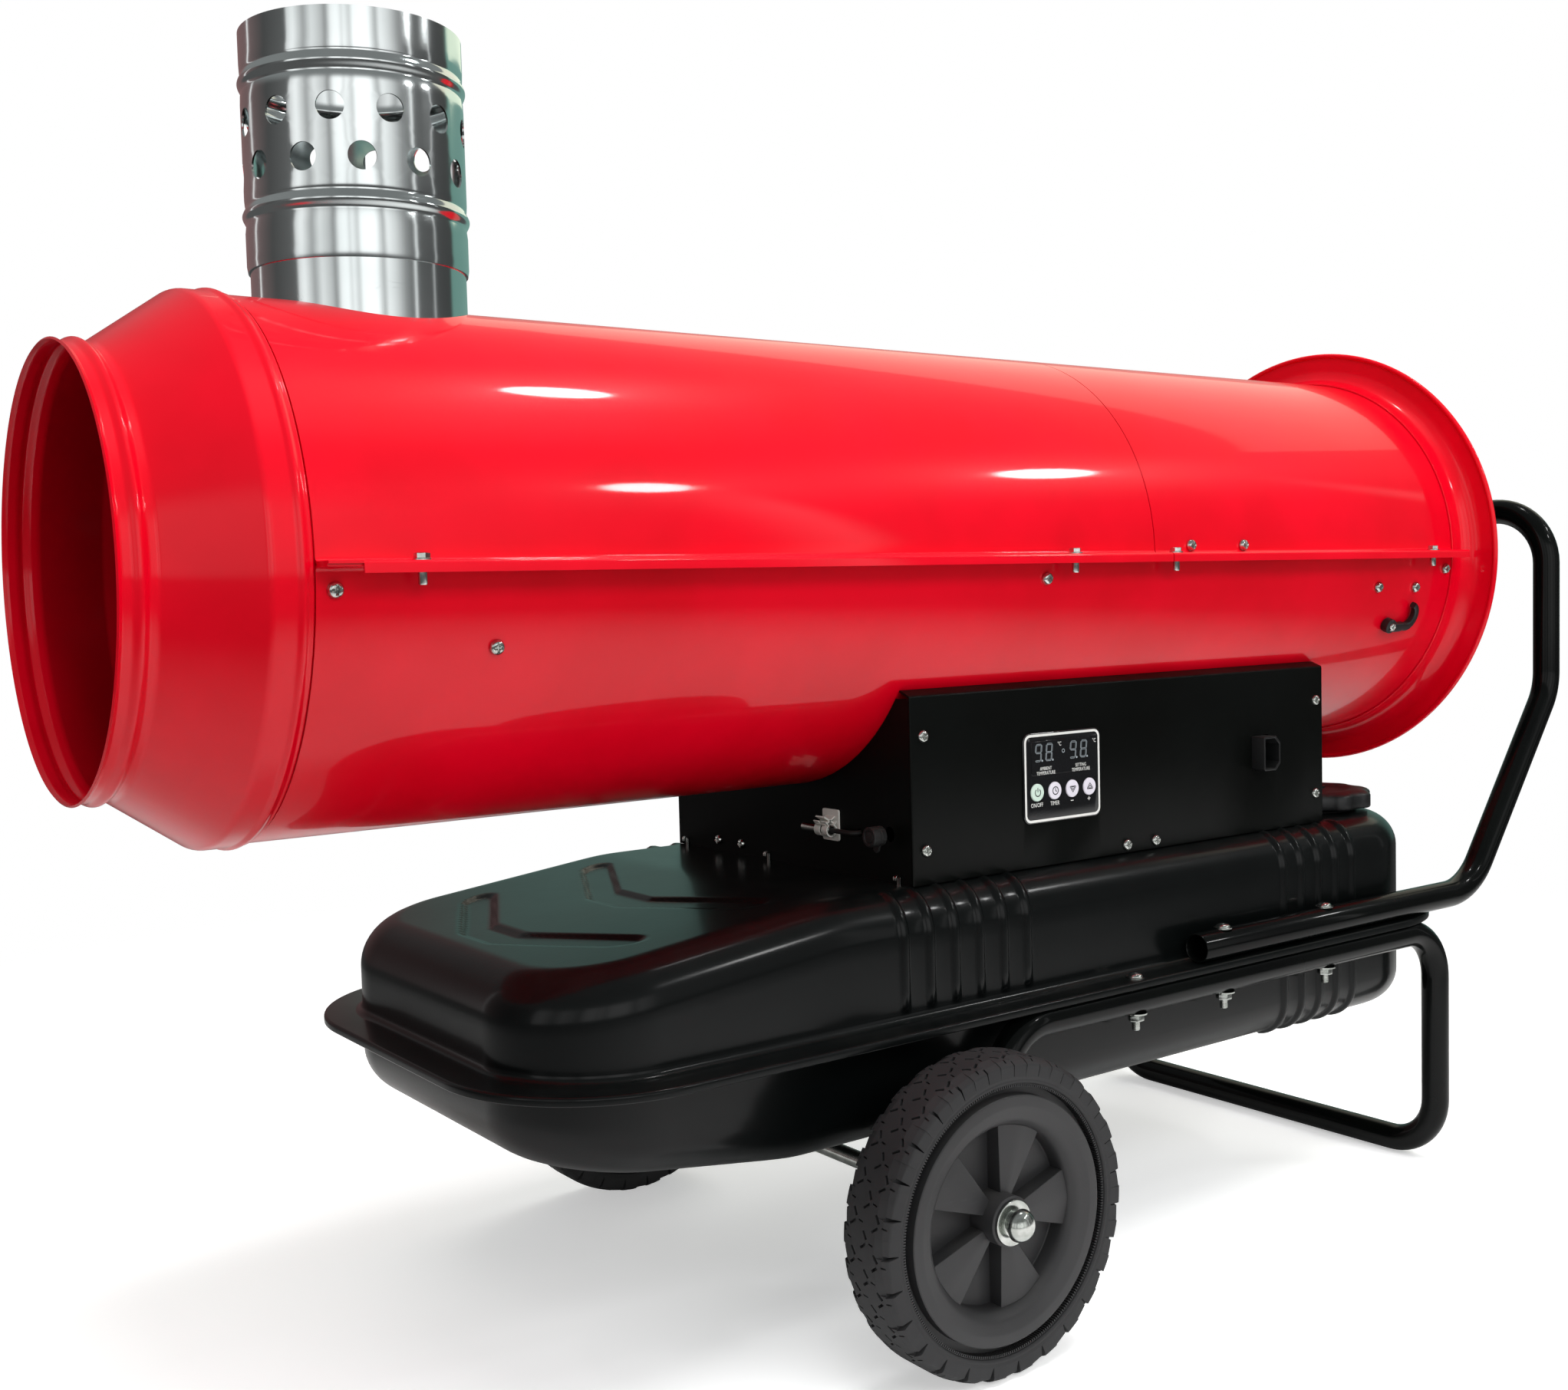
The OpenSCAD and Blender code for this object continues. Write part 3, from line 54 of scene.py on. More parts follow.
Array = np.ndarray
Color = tuple[float, float, float]
Pair = tuple[float, float]

MM = 0.001
MERGE, CAD_MERGE = 4e-6, 2e-6
MID_X = 127.5
BARREL_Z = 515.0
BARREL_R = 159.0
FLUE_X, STUB_R = -299.0, 64.0
SEAM_Z, TANK_TOP = 213.0, 297.0
NECK = (512.0, -84.0)
BOX_FRONT, BOX_NEAR = 11.0, -143.5
PANEL = (151.5, 360.0)
NEAR, FRONT, REAR, UP, DOWN = (0, -1, 0), (-1, 0, 0), (1, 0, 0), (0, 0, 1), (0, 0, -1)


# Plain geometry

def unit(v: Array) -> Array:
    """Vectors scaled to length one along the last axis."""
    return v / np.linalg.norm(v, axis=-1, keepdims=True)


def soft(a: float, b: float, x: Array) -> Array:
    """A smooth step from 0 at a to 1 at b: t t (3 - 2 t), with t = (x - a) / (b - a) held in 0 to 1."""
    t = np.clip((np.asarray(x, float) - a) / (b - a), 0.0, 1.0)
    return t * t * (3.0 - 2.0 * t)


def bead(s: Array) -> Array:
    """A rounded bead: (1 + cos(pi s)) / 2 for s from -1 to 1, and 0 beyond."""
    return 0.5 * (1 + np.cos(np.pi * np.clip(s, -1, 1)))


def polar(r: float | Array, t: float | Array, z: float | Array | None = None) -> Array:
    """Points (r cos t, r sin t), or (r cos t, r sin t, z) when z is given."""
    parts = [r * np.cos(t), r * np.sin(t)] + ([] if z is None else [z])
    return np.stack(np.broadcast_arrays(*parts), axis=-1)


def circle(r: float, n: int = 24, start: float = 0.0) -> Array:
    """n points on a circle of radius r."""
    return polar(r, start + np.arange(n) * math.tau / n)


def rounded(corners: list | Array, radii: float | list | Array, steps: int = 6, closed: bool = False) -> Array:
    """A line through corner points with an arc at each corner.

    The arc turns from direction u to w: point = start + n r (1 - cos a) + u r sin a, where n is
    the unit vector across u towards w and start lies r tan(turn / 2) before the corner.

    Args:
        corners: the corner points, in two or three dimensions.
        radii: one radius, or one for each corner.
        steps: the number of steps in each arc.
        closed: whether the last corner joins the first.

    Returns:
        The points of the line.
    """
    p = np.asarray(corners, float)
    r = np.broadcast_to(np.asarray(radii, float), len(p))
    before, after = np.roll(p, 1, 0), np.roll(p, -1, 0)
    parts = []
    for k in range(len(p)):
        turn = 0.0
        if r[k] and (closed or 0 < k < len(p) - 1):
            u, w = unit(p[k] - before[k]), unit(after[k] - p[k])
            turn = math.acos(float(np.clip(u @ w, -1, 1)))
        if turn < 1e-5:
            parts.append(p[k:k + 1])
            continue
        n = unit(w - u * (u @ w))
        a = np.linspace(0, turn, steps + 1)[:, None]
        start = p[k] - u * r[k] * math.tan(turn / 2)
        parts.append(start + n * r[k] * (1 - np.cos(a)) + u * r[k] * np.sin(a))
    return np.concatenate(parts)


def rounded_box(w: float, h: float, r: float, steps: int = 6) -> Array:
    """The outline of a rectangle with rounded corners, centred on zero."""
    return rounded(np.array([[-w, -h], [w, -h], [w, h], [-w, h]]) / 2, r, steps, closed=True)


def tangents(line: Array) -> Array:
    """Unit tangents of an open line: the mean of the directions before and after each point."""
    step = unit(np.diff(line, axis=0))
    return unit(np.concatenate([step[:1], step[:-1] + step[1:], step[-1:]]))


def rightward(line: Array) -> Array:
    """Unit vectors to the right of a flat line."""
    d = tangents(line)
    return np.stack([d[:, 1], -d[:, 0]], axis=-1)


def sheet_loop(line: Array, t: float) -> Array:
    """A closed profile: the line, and the line moved by t to its right and run backwards."""
    return np.concatenate([line, (line + rightward(line) * t)[::-1]])


def level(line: Array, z: float) -> Array:
    """A flat line of (x, y) at height z."""
    return np.column_stack([line, np.full(len(line), z)])


def facing(line: Array, x: float, y: float, z: float) -> Array:
    """A flat line of (across, up) in the upright plane at y, with its origin at x and z."""
    return np.column_stack([x + line[:, 0], np.full(len(line), y), z + line[:, 1]])


def outlined(outer: Array, inner: Array, rise: float = 0.05) -> Array:
    """The four rings of a thin flat frame between two outlines, for a grid that closes both ways."""
    return np.stack([level(line, z) for line, z in ((outer, 0), (outer, rise), (inner, rise), (inner, 0))])


def drawn(x: Array, line: Array, z: float = 0.0) -> Array:
    """A line of (y, height above z) drawn out along the stations x."""
    p = np.empty((len(x), len(line), 3))
    p[..., 0], p[..., 1], p[..., 2] = x[:, None], line[:, 0], z + line[:, 1]
    return p


def carried(path: Array, section: Array, ref: tuple, scale: Array | None = None) -> Array:
    """A section carried along a path: point (i, j) is path_i + scale_i (a_j side_i + b_j up_i).

    side is the unit cross product of the tangent and ref, and up is that of side and tangent.

    Args:
        path: the stations.
        section: points (a, b) of the section.
        ref: a direction that the path never runs along.
        scale: the section's scale at each station.

    Returns:
        A grid of points, stations by section points.
    """
    t = tangents(path)
    side = unit(np.cross(t, np.asarray(ref, float)))
    up = np.cross(side, t)
    k = np.ones(len(path)) if scale is None else scale
    a, b = section.T
    return path[:, None] + k[:, None, None] * (a[None, :, None] * side[:, None] + b[None, :, None] * up[:, None])


def holed_tile(lo: Array, hi: Array, n: int, rim: Callable[[Array], Array], rings: int = 4) -> Array:
    """A rectangle in two parameters with a hole in it.

    Point (k, j) is rim_j + (k / rings) (edge_j - rim_j), where edge_j walks round the rectangle
    in 4 n steps and rim_j lies on the hole's edge in the same direction from the middle.

    Args:
        lo, hi: two corners of the rectangle.
        n: steps along each side.
        rim: gives the hole's edge for an array of directions.
        rings: steps from hole to edge.

    Returns:
        Parameters as an array of rings + 1 by 4 n by 2.
    """
    lo, hi = np.asarray(lo, float), np.asarray(hi, float)
    s = (np.arange(n) / n)[:, None]
    c = np.array([lo, [hi[0], lo[1]], hi, [lo[0], hi[1]], lo])
    edge = np.concatenate([c[i] + s * (c[i + 1] - c[i]) for i in range(4)])
    mid = (lo + hi) / 2
    hole = rim(np.arctan2(edge[:, 1] - mid[1], edge[:, 0] - mid[0]))
    k = np.linspace(0, 1, rings + 1)[:, None, None]
    return hole + k * (edge - hole)


def placed(x: float = 0, y: float = 0, z: float = 0, axis: tuple = UP, start: tuple = REAR) -> Array:
    """A matrix that turns and moves a shape.

    Args:
        x, y, z: where the origin goes.
        axis: what local z becomes.
        start: what local x becomes, made square to axis.

    Returns:
        The matrix, four by four.
    """
    m = np.eye(4)
    w, u = unit(np.asarray(axis, float)), np.asarray(start, float)
    u = unit(u - w * (u @ w))
    m[:3, 0], m[:3, 1], m[:3, 2], m[:3, 3] = u, np.cross(w, u), w, (x, y, z)
    return m


def spun(t: float, z: float = 0.0, way: int = 1) -> Array:
    """A placing matrix at height z on the axis, turned by t; with way -1, local z points down."""
    return placed(0, 0, z, (0, 0, way), (math.cos(t), math.sin(t), 0))


ON_BARREL = placed(0, 0, BARREL_Z, axis=REAR, start=DOWN)


class Shape:
    """Points and faces gathered from numpy grids, in millimetres."""

    def __init__(self) -> None:
        """Starts with no points."""
        self.points: list[Array] = []
        self.faces: list[Array] = []
        self.size = 0

    def take(self, points: Array, faces: list[Array]) -> "Shape":
        """Adds points and the blocks of faces that index them."""
        self.points.append(np.asarray(points, float).reshape(-1, 3))
        self.faces.extend(f + self.size for f in faces)
        self.size += len(self.points[-1])
        return self

    def grid(self, p: Array, wrap: str = "") -> "Shape":
        """Adds a quad between every four neighbours p[i, j].

        Args:
            p: the grid of points.
            wrap: the ways in which it closes, u for i and v for j.

        Returns:
            The shape itself.
        """
        n, m = p.shape[:2]
        i, j = np.meshgrid(np.arange(n if "u" in wrap else n - 1), np.arange(m if "v" in wrap else m - 1),
                           indexing="ij")
        i2, j2 = (i + 1) % n, (j + 1) % m
        quads = np.stack([i * m + j, i2 * m + j, i2 * m + j2, i * m + j2], axis=-1).reshape(-1, 4)
        return self.take(p, [quads])

    def fill(self, ring: Array) -> "Shape":
        """Closes a flat ring with one face."""
        return self.take(ring, [np.arange(len(ring))[None]])

    def loft(self, rings: list | Array) -> "Shape":
        """Adds a closed solid through rings, with a face on the first and the last."""
        return self.grid(np.asarray(rings), "v").fill(rings[0]).fill(rings[-1])

    def tube(self, path: Array, r: float, ref: tuple, sides: int = 20) -> "Shape":
        """Adds a round rod along a path, with flat ends."""
        return self.loft(carried(np.asarray(path, float), circle(r, sides), ref))

    def slab(self, outline: Array | list, z0: float, z1: float) -> "Shape":
        """Adds a flat outline in x and y, given a thickness from z0 to z1."""
        return self.loft([level(outline, z) for z in (z0, z1)])

    def turned(self, profile: Array | list, turns: int = 64, wrap: str = "u") -> "Shape":
        """Adds a profile of (radius, height) turned about z; wrap "uv" closes the profile too."""
        r, h = np.asarray(profile, float).T
        return self.grid(polar(r, (np.arange(turns) * math.tau / turns)[:, None], h), wrap)

    def moved(self, *places: Array) -> "Shape":
        """A new shape with one copy of this one at each placing matrix."""
        out = Shape()
        p = np.concatenate(self.points)
        for m in places:
            out.take(p @ m[:3, :3].T + m[:3, 3], self.faces)
        return out

    def plus(self, *others: "Shape") -> "Shape":
        """This shape with others added to it."""
        for o in others:
            self.take(np.concatenate(o.points), o.faces)
        return self

    def mirrored(self) -> "Shape":
        """This shape and its mirror image across the middle plane, whose faces are turned round."""
        p = np.concatenate(self.points)
        return Shape().take(p, self.faces).take(p * [1, -1, 1], [f[:, ::-1] for f in self.faces])


class Slot(Enum):
    """The material slots that finishes and pieces name."""

    RED = "red_paint"
    BLACK = "black_paint"
    FLUE = "flue_steel"
    STEEL = "plain_steel"
    HEAT = "heat_steel"
    ZINC = "zinc"
    BRASS = "brass"
    COPPER = "copper"
    CAST = "cast_metal"
    PLASTIC = "black_plastic"
    WINDOW = "window"
    WHITE = "white_plastic"
    GREEN = "green_plastic"
    BOARD = "circuit_board"
    RUBBER = "black_rubber"
    TYRE = "tyre"
    WHEEL = "wheel_plastic"


# Shader groups

def tint(text: str) -> Color:
    """Linear colour of a six-digit hex colour."""
    c = np.array([int(text[i:i + 2], 16) for i in (0, 2, 4)]) / 255.0
    lin = np.where(c <= 0.04045, c / 12.92, ((c + 0.055) / 1.055) ** 2.4)
    return tuple(float(v) for v in lin)


class Nodes:
    """A short way to write a node tree."""

    def __init__(self, tree: NodeTree) -> None:
        """Takes the tree that nodes are added to."""
        self.tree = tree

    def feed(self, node: Node, inputs: dict) -> Node:
        """Gives each named or numbered input a value or a link from a socket, and returns the node."""
        for key, value in inputs.items():
            if isinstance(value, NodeSocket):
                self.tree.links.new(value, node.inputs[key])
            else:
                node.inputs[key].default_value = value
        return node

    def add(self, kind: str, inputs: dict | None = None, **settings: object) -> Node:
        """Adds a node.

        Args:
            kind: the node's type, without ShaderNode in front.
            inputs: sockets by name or number; each gets a value or is linked to a socket.
            settings: the node's own settings.

        Returns:
            The new node.
        """
        node = self.tree.nodes.new("ShaderNode" + kind)
        for key, value in settings.items():
            setattr(node, key, value)
        return self.feed(node, inputs or {})

    def math(self, how: str, a: object, b: object = 0.0, clamp: bool = False) -> NodeSocket:
        """The result of one sum on two values."""
        return self.add("Math", {0: a, 1: b}, operation=how, use_clamp=clamp).outputs[0]

    def times(self, a: object, b: object, clamp: bool = False) -> NodeSocket:
        """The product of two values."""
        return self.math("MULTIPLY", a, b, clamp)

    def ramp(self, value: object, lo: float, hi: float) -> NodeSocket:
        """A value mapped from lo to hi onto 0 to 1, with soft ends."""
        node = self.add("MapRange", {"Value": value, "From Min": lo, "From Max": hi}, interpolation_type="SMOOTHSTEP")
        return node.outputs["Result"]

    def mix(self, share: object, a: object, b: object) -> NodeSocket:
        """A colour between two colours, each a socket or three numbers."""
        a, b = ((*v, 1.0) if isinstance(v, tuple) else v for v in (a, b))
        return self.add("Mix", {0: share, 6: a, 7: b}, data_type="RGBA").outputs[2]

    def noise(self, place: object, scale: object, detail: float = 2.0, rough: float = 0.5) -> NodeSocket:
        """Soft noise from 0 to 1."""
        node = self.add("TexNoise", {"Vector": place, "Scale": scale, "Detail": detail, "Roughness": rough})
        return node.outputs[0]

    def place(self) -> NodeSocket:
        """Object coordinates, in metres in the model's frame."""
        return self.add("TexCoord").outputs["Object"]


class Groups:
    """The effects that more than one finish uses, each a shader node group built once."""

    def __init__(self) -> None:
        """Builds every group."""
        self.tone = self._group("paint_tone", "Light:Color Deep:Color Scale:Float", "Color:Color", self._tone)
        self.dust = self._group("settled_dust", "Amount:Float Scale:Float", "Mask:Float", self._dust)
        self.peel = self._group("orange_peel", "Scale:Float Waves:Float", "Height:Float", self._peel)
        self.streaks = self._group("drawn_streaks", "Stretch:Vector Scale:Float", "Value:Float", self._streaks)
        self.scuffs = self._group("fine_scuffs", "Scale:Float Amount:Float", "Mask:Float", self._scuffs)
        self.grain = self._group("moulded_grain", "Scale:Float", "Height:Float", self._grain)

    @staticmethod
    def _group(name: str, ins: str, out: str, fill: Callable[[Nodes, NodeOutputs], NodeSocket]) -> NodeTree:
        """Makes one group.

        Args:
            name: the group's name.
            ins: the inputs, each as name:kind.
            out: the output, as name:kind.
            fill: builds the inside and returns the output's socket.

        Returns:
            The group's node tree.
        """
        tree = bpy.data.node_groups.new(name, "ShaderNodeTree")
        for io, sockets in (("INPUT", ins), ("OUTPUT", out)):
            for key, kind in (s.split(":") for s in sockets.split()):
                tree.interface.new_socket(key, in_out=io, socket_type="NodeSocket" + kind)
        source, sink = (tree.nodes.new(kind) for kind in ("NodeGroupInput", "NodeGroupOutput"))
        tree.links.new(fill(Nodes(tree), source.outputs), sink.inputs[0])
        return tree

    @staticmethod
    def _tone(n: Nodes, g: NodeOutputs) -> NodeSocket:
        """Two tones mixed by slow noise."""
        slow = n.noise(n.place(), g["Scale"], 3.0, 0.55)
        return n.mix(n.ramp(slow, 0.3, 0.7), g["Light"], g["Deep"])

    @staticmethod
    def _dust(n: Nodes, g: NodeOutputs) -> NodeSocket:
        """Dust on faces that look up, broken by noise."""
        up = n.add("SeparateXYZ", {0: n.add("NewGeometry").outputs["Normal"]}).outputs["Z"]
        patch = n.ramp(n.noise(n.place(), g["Scale"], 5.0, 0.7), 0.35, 0.75)
        return n.times(n.times(n.ramp(up, 0.2, 1.0), patch), g["Amount"], True)

    @staticmethod
    def _peel(n: Nodes, g: NodeOutputs) -> NodeSocket:
        """Fine ripples of sprayed paint on slow waves of the sheet."""
        p = n.place()
        slow = n.noise(p, n.math("DIVIDE", g["Scale"], 60.0), 1.0)
        return n.math("ADD", n.noise(p, g["Scale"], 1.0), n.times(slow, g["Waves"]))

    @staticmethod
    def _streaks(n: Nodes, g: NodeOutputs) -> NodeSocket:
        """Noise stretched along one way, as rolled or drawn metal shows."""
        p = n.add("VectorMath", {0: n.place(), 1: g["Stretch"]}, operation="MULTIPLY").outputs[0]
        return n.noise(p, g["Scale"], 4.0, 0.65)

    @staticmethod
    def _scuffs(n: Nodes, g: NodeOutputs) -> NodeSocket:
        """Short fine lines in two slanting ways, only where slow noise lets them show."""
        p = n.place()
        lines = []
        for turn in (0.5, 2.2):
            m = n.add("Mapping", {"Vector": p, "Rotation": (0.4, turn, 0.3), "Scale": (1.0, 28.0, 28.0)})
            lines.append(n.ramp(n.noise(m.outputs[0], g["Scale"], 2.0, 0.6), 0.66, 0.7))
        where = n.ramp(n.noise(p, n.times(g["Scale"], 0.7), 2.0), 0.5, 0.7)
        return n.times(n.times(n.math("MAXIMUM", *lines), where), g["Amount"], True)

    @staticmethod
    def _grain(n: Nodes, g: NodeOutputs) -> NodeSocket:
        """Small rounded cells, as on textured mouldings."""
        v = n.add("TexVoronoi", {"Vector": n.place(), "Scale": g["Scale"]}, feature="SMOOTH_F1")
        return v.outputs["Distance"]


GROUPS = Groups()


class Texture(Enum):
    """The relief that a finish carries."""

    PEEL = "peel"
    STREAK = "streak"
    GRAIN = "grain"


@dataclass(frozen=True)
class Finish:
    """One surface finish: its slot, colours, gloss and relief."""

    name: str
    slot: Slot
    light: str
    deep: str
    rough: float
    metal: float = 0.0
    coat: float = 0.0
    coat_rough: float = 0.04
    tone: float = 9.0
    texture: Texture = Texture.PEEL
    scale: float = 420.0
    waves: float = 2.0
    depth: float = 0.02
    stretch: tuple[float, float, float] = (1.0, 1.0, 1.0)
    dust: float = 0.08
    dust_color: str = "8d8880"
    scuff: float = 0.25
    scuff_color: str = "9a9a9a"
    uneven: float = 0.1
    specular: float = 0.5
    glow: float = 0.0

    def material(self) -> Material:
        """The finish as a material, built the first time that it is asked for."""
        return bpy.data.materials.get(self.name) or self._build()

    def _relief(self, n: Nodes) -> NodeSocket:
        """The height that bumps the surface, by the kind of texture."""
        tree, inputs = {Texture.PEEL: (GROUPS.peel, {"Scale": self.scale, "Waves": self.waves}),
                        Texture.STREAK: (GROUPS.streaks, {"Stretch": self.stretch, "Scale": self.scale}),
                        Texture.GRAIN: (GROUPS.grain, {"Scale": self.scale})}[self.texture]
        return n.add("Group", inputs, node_tree=tree).outputs[0]

    def _build(self) -> Material:
        """Builds the node tree: tone, scuffs and dust for colour, uneven gloss, and a bump."""
        m = bpy.data.materials.new(self.name)
        m.use_nodes = True
        light, deep = (*tint(self.light), 1.0), (*tint(self.deep), 1.0)
        m.diffuse_color = light
        n = Nodes(m.node_tree)
        tone = n.add("Group", {"Light": light, "Deep": deep, "Scale": self.tone}, node_tree=GROUPS.tone).outputs[0]
        scuff = n.add("Group", {"Scale": 30.0, "Amount": self.scuff}, node_tree=GROUPS.scuffs).outputs[0]
        dust = n.add("Group", {"Amount": self.dust, "Scale": 24.0}, node_tree=GROUPS.dust).outputs[0]
        marked = n.mix(n.times(scuff, 0.5), tone, tint(self.scuff_color))
        color = n.mix(dust, marked, tint(self.dust_color))
        blotch = n.noise(n.place(), 14.0, 4.0, 0.6)
        gloss = n.math("ADD", self.rough - self.uneven / 2, n.times(blotch, self.uneven))
        for mark, share in ((scuff, 0.25), (dust, 0.5)):
            gloss = n.math("ADD", gloss, n.times(mark, share), True)
        bump = n.add("Bump", {"Height": self._relief(n), "Strength": 1.0, "Distance": self.depth * MM})
        inputs = {"Base Color": color, "Roughness": gloss, "Normal": bump.outputs[0], "Metallic": self.metal,
                  "Coat Weight": self.coat, "Coat Roughness": self.coat_rough, "Specular IOR Level": self.specular}
        # Emission: real light on the lit display segments, painted glow on the key faces.
        if self.glow:
            inputs |= {"Emission Color": color, "Emission Strength": self.glow}
        n.feed(m.node_tree.nodes["Principled BSDF"], inputs)
        return m


STREAK, GRAIN = Texture.STREAK, Texture.GRAIN
RED = Finish("red_lacquer", Slot.RED, "de001e", "d00018", 0.3, coat=0.5, coat_rough=0.055, scale=330.0,
             waves=4.0, dust=0.01, scuff=0.05, scuff_color="f04850", uneven=0.04, specular=0.1)
# Painted shade: the barrel's red lacquer darkened to stand for the shade inside the barrel.
RED_PAINTED_SHADE = Finish("red_lacquer_painted_shade", Slot.RED, "1e0304", "120202", 0.4, coat=0.3, coat_rough=0.15, dust=0.04,
                    scuff=0.08, scuff_color="400c10", specular=0.1)
BLACK = Finish("black_powder_coat", Slot.BLACK, "090b0a", "060706", 0.36, coat=0.03, coat_rough=0.2, scale=700.0,
               waves=3.0, depth=0.022, dust=0.01, scuff=0.08, scuff_color="2c2f30", uneven=0.12, specular=0.06)
TANK_BLACK = Finish("black_tank_paint", Slot.BLACK, "080a0a", "050707", 0.3, coat=0.3, coat_rough=0.14, scale=520.0,
                    waves=7.0, depth=0.025, dust=0.01, scuff=0.1, scuff_color="35383a", specular=0.08)
TUBE_BLACK = Finish("black_tube_paint", Slot.BLACK, "050706", "030404", 0.26, coat=0.22, coat_rough=0.05, scale=600.0,
                    waves=3.0, depth=0.012, dust=0.005, scuff=0.1, scuff_color="3a3c3d", uneven=0.08, specular=0.06)
FLUE = Finish("bright_flue_steel", Slot.FLUE, "dfe4e4", "ccd3d3", 0.12, metal=1.0, texture=STREAK, scale=1.0,
              stretch=(260.0, 260.0, 5.0), depth=0.006, dust=0.0, scuff=0.2, scuff_color="90969a", uneven=0.08)
STEEL = Finish("mill_steel", Slot.STEEL, "9aa0a3", "7d8385", 0.32, metal=1.0, texture=STREAK, scale=1.0,
               stretch=(14.0, 400.0, 400.0), depth=0.01, dust=0.05, uneven=0.15)
HEAT = Finish("heat_browned_steel", Slot.HEAT, "5a4a40", "2e2826", 0.48, metal=0.8, tone=22.0, texture=GRAIN,
              scale=900.0, depth=0.03, dust=0.2, dust_color="5b5048", scuff=0.3, uneven=0.25)
ZINC = Finish("bright_zinc", Slot.ZINC, "d3d6d2", "aeb3ad", 0.2, metal=1.0, tone=120.0, texture=GRAIN, scale=1600.0,
              depth=0.012, dust=0.04, scuff=0.3, uneven=0.2)
BRASS = Finish("turned_brass", Slot.BRASS, "c79a45", "a5772c", 0.26, metal=1.0, tone=60.0, texture=STREAK,
               scale=1.0, stretch=(30.0, 500.0, 500.0), depth=0.01)
COPPER = Finish("drawn_copper", Slot.COPPER, "c07850", "93502f", 0.3, metal=1.0, tone=60.0, texture=STREAK,
                scale=1.0, stretch=(20.0, 400.0, 400.0), depth=0.008)
CAST = Finish("painted_casting", Slot.CAST, "34383a", "26292b", 0.5, texture=GRAIN, scale=700.0, depth=0.08,
              coat=0.2, coat_rough=0.3, scuff=0.3)
ALLOY = Finish("cast_alloy", Slot.CAST, "a5a8a8", "85898a", 0.42, metal=0.9, texture=GRAIN, scale=800.0, depth=0.05)
PLASTIC = Finish("black_moulding", Slot.PLASTIC, "101112", "08090a", 0.42, texture=GRAIN, scale=1400.0,
                 dust=0.06, scuff=0.2, scuff_color="3a3a3a")
WHITE = Finish("white_moulding", Slot.WHITE, "dcdcd6", "cfcfc8", 0.38, texture=GRAIN, scale=1200.0, depth=0.015,
               dust=0.05, scuff=0.15)
# Key faces with painted glow: their emission stands for light falling on them, as the keys are no lamps.
LILAC_PAINTED_GLOW = Finish("lilac_key_painted_glow", Slot.WHITE, "d2cfd6", "c6c2cb", 0.3, texture=GRAIN, scale=1200.0, depth=0.01,
               glow=0.25)
MINT_PAINTED_GLOW = Finish("mint_key_painted_glow", Slot.GREEN, "c6d6cb", "b8ccbf", 0.3, texture=GRAIN, scale=1200.0, depth=0.01,
              glow=0.15)
PRINT = Finish("white_print", Slot.WHITE, "e8e8e4", "d8d8d4", 0.4, depth=0.004, scuff=0.05, dust=0.02)
DARK_PRINT = Finish("grey_print", Slot.WHITE, "16171b", "101114", 0.5, depth=0.004, dust=0.02)
DIGIT = Finish("lit_segment", Slot.WHITE, "a4acb0", "959da2", 0.3, depth=0.004, glow=0.28, dust=0.0, scuff=0.0)
GLASS = Finish("smoked_window", Slot.PLASTIC, "0a0b0f", "050608", 0.08, coat=1.0, coat_rough=0.02, depth=0.004,
               waves=1.0, dust=0.02, scuff=0.1, scuff_color="555560", uneven=0.04)
RUBBER = Finish("soft_black_rubber", Slot.RUBBER, "121212", "0a0a0a", 0.62, texture=GRAIN, scale=1500.0, depth=0.03,
                dust=0.12, dust_color="5a5750")
TYRE = Finish("grey_tyre_rubber", Slot.TYRE, "262627", "1f1f20", 0.68, texture=GRAIN, scale=900.0, depth=0.05,
              dust=0.04, dust_color="4b4a48", scuff=0.2, scuff_color="4b4b4c", uneven=0.16)
WHEEL = Finish("grey_wheel_moulding", Slot.WHEEL, "29292a", "222223", 0.5, texture=GRAIN, scale=1100.0, depth=0.03,
               dust_color="66625c", scuff=0.3, scuff_color="505052", uneven=0.12)
BOARD = Finish("green_board", Slot.BOARD, "0b4a26", "083a1e", 0.35, coat=0.5, coat_rough=0.15, tone=140.0,
               texture=GRAIN, scale=300.0, depth=0.04)


# Pieces

def linked(name: str, data: ID) -> Object:
    """A new object with its data, linked into the scene."""
    obj = bpy.data.objects.new(name, data)
    bpy.context.scene.collection.objects.link(obj)
    return obj


@contextmanager
def edited(mesh: Mesh) -> Iterator[bmesh.types.BMesh]:
    """A mesh open for editing, written back at the end of the block."""
    bm = bmesh.new()
    bm.from_mesh(mesh)
    yield bm
    bm.to_mesh(mesh)
    bm.free()


def baked(obj: Object) -> Mesh:
    """Gives an object its evaluated mesh, takes its modifiers off, and returns the mesh."""
    bpy.context.view_layer.update()
    obj.data = bpy.data.meshes.new_from_object(obj.evaluated_get(bpy.context.evaluated_depsgraph_get()))
    obj.modifiers.clear()
    return obj.data


def bevelled(obj: Object, width: float, segments: int, angle: float) -> Object:
    """Rounds an object's sharp edges.

    Args:
        obj: the object.
        width: the rounding's width, in millimetres.
        segments: its steps.
        angle: the least angle of a sharp edge, in degrees.

    Returns:
        The object.
    """
    m = obj.modifiers.new("edges", "BEVEL")
    m.width, m.segments, m.limit_method, m.angle_limit = width * MM, segments, "ANGLE", math.radians(angle)
    m.harden_normals = True
    return obj


def smooth(mesh: Mesh, crease: float) -> None:
    """Shades a mesh smooth, but sharp at edges above the crease, in degrees."""
    mesh.shade_smooth()
    mesh.set_sharp_from_angle(angle=math.radians(crease))


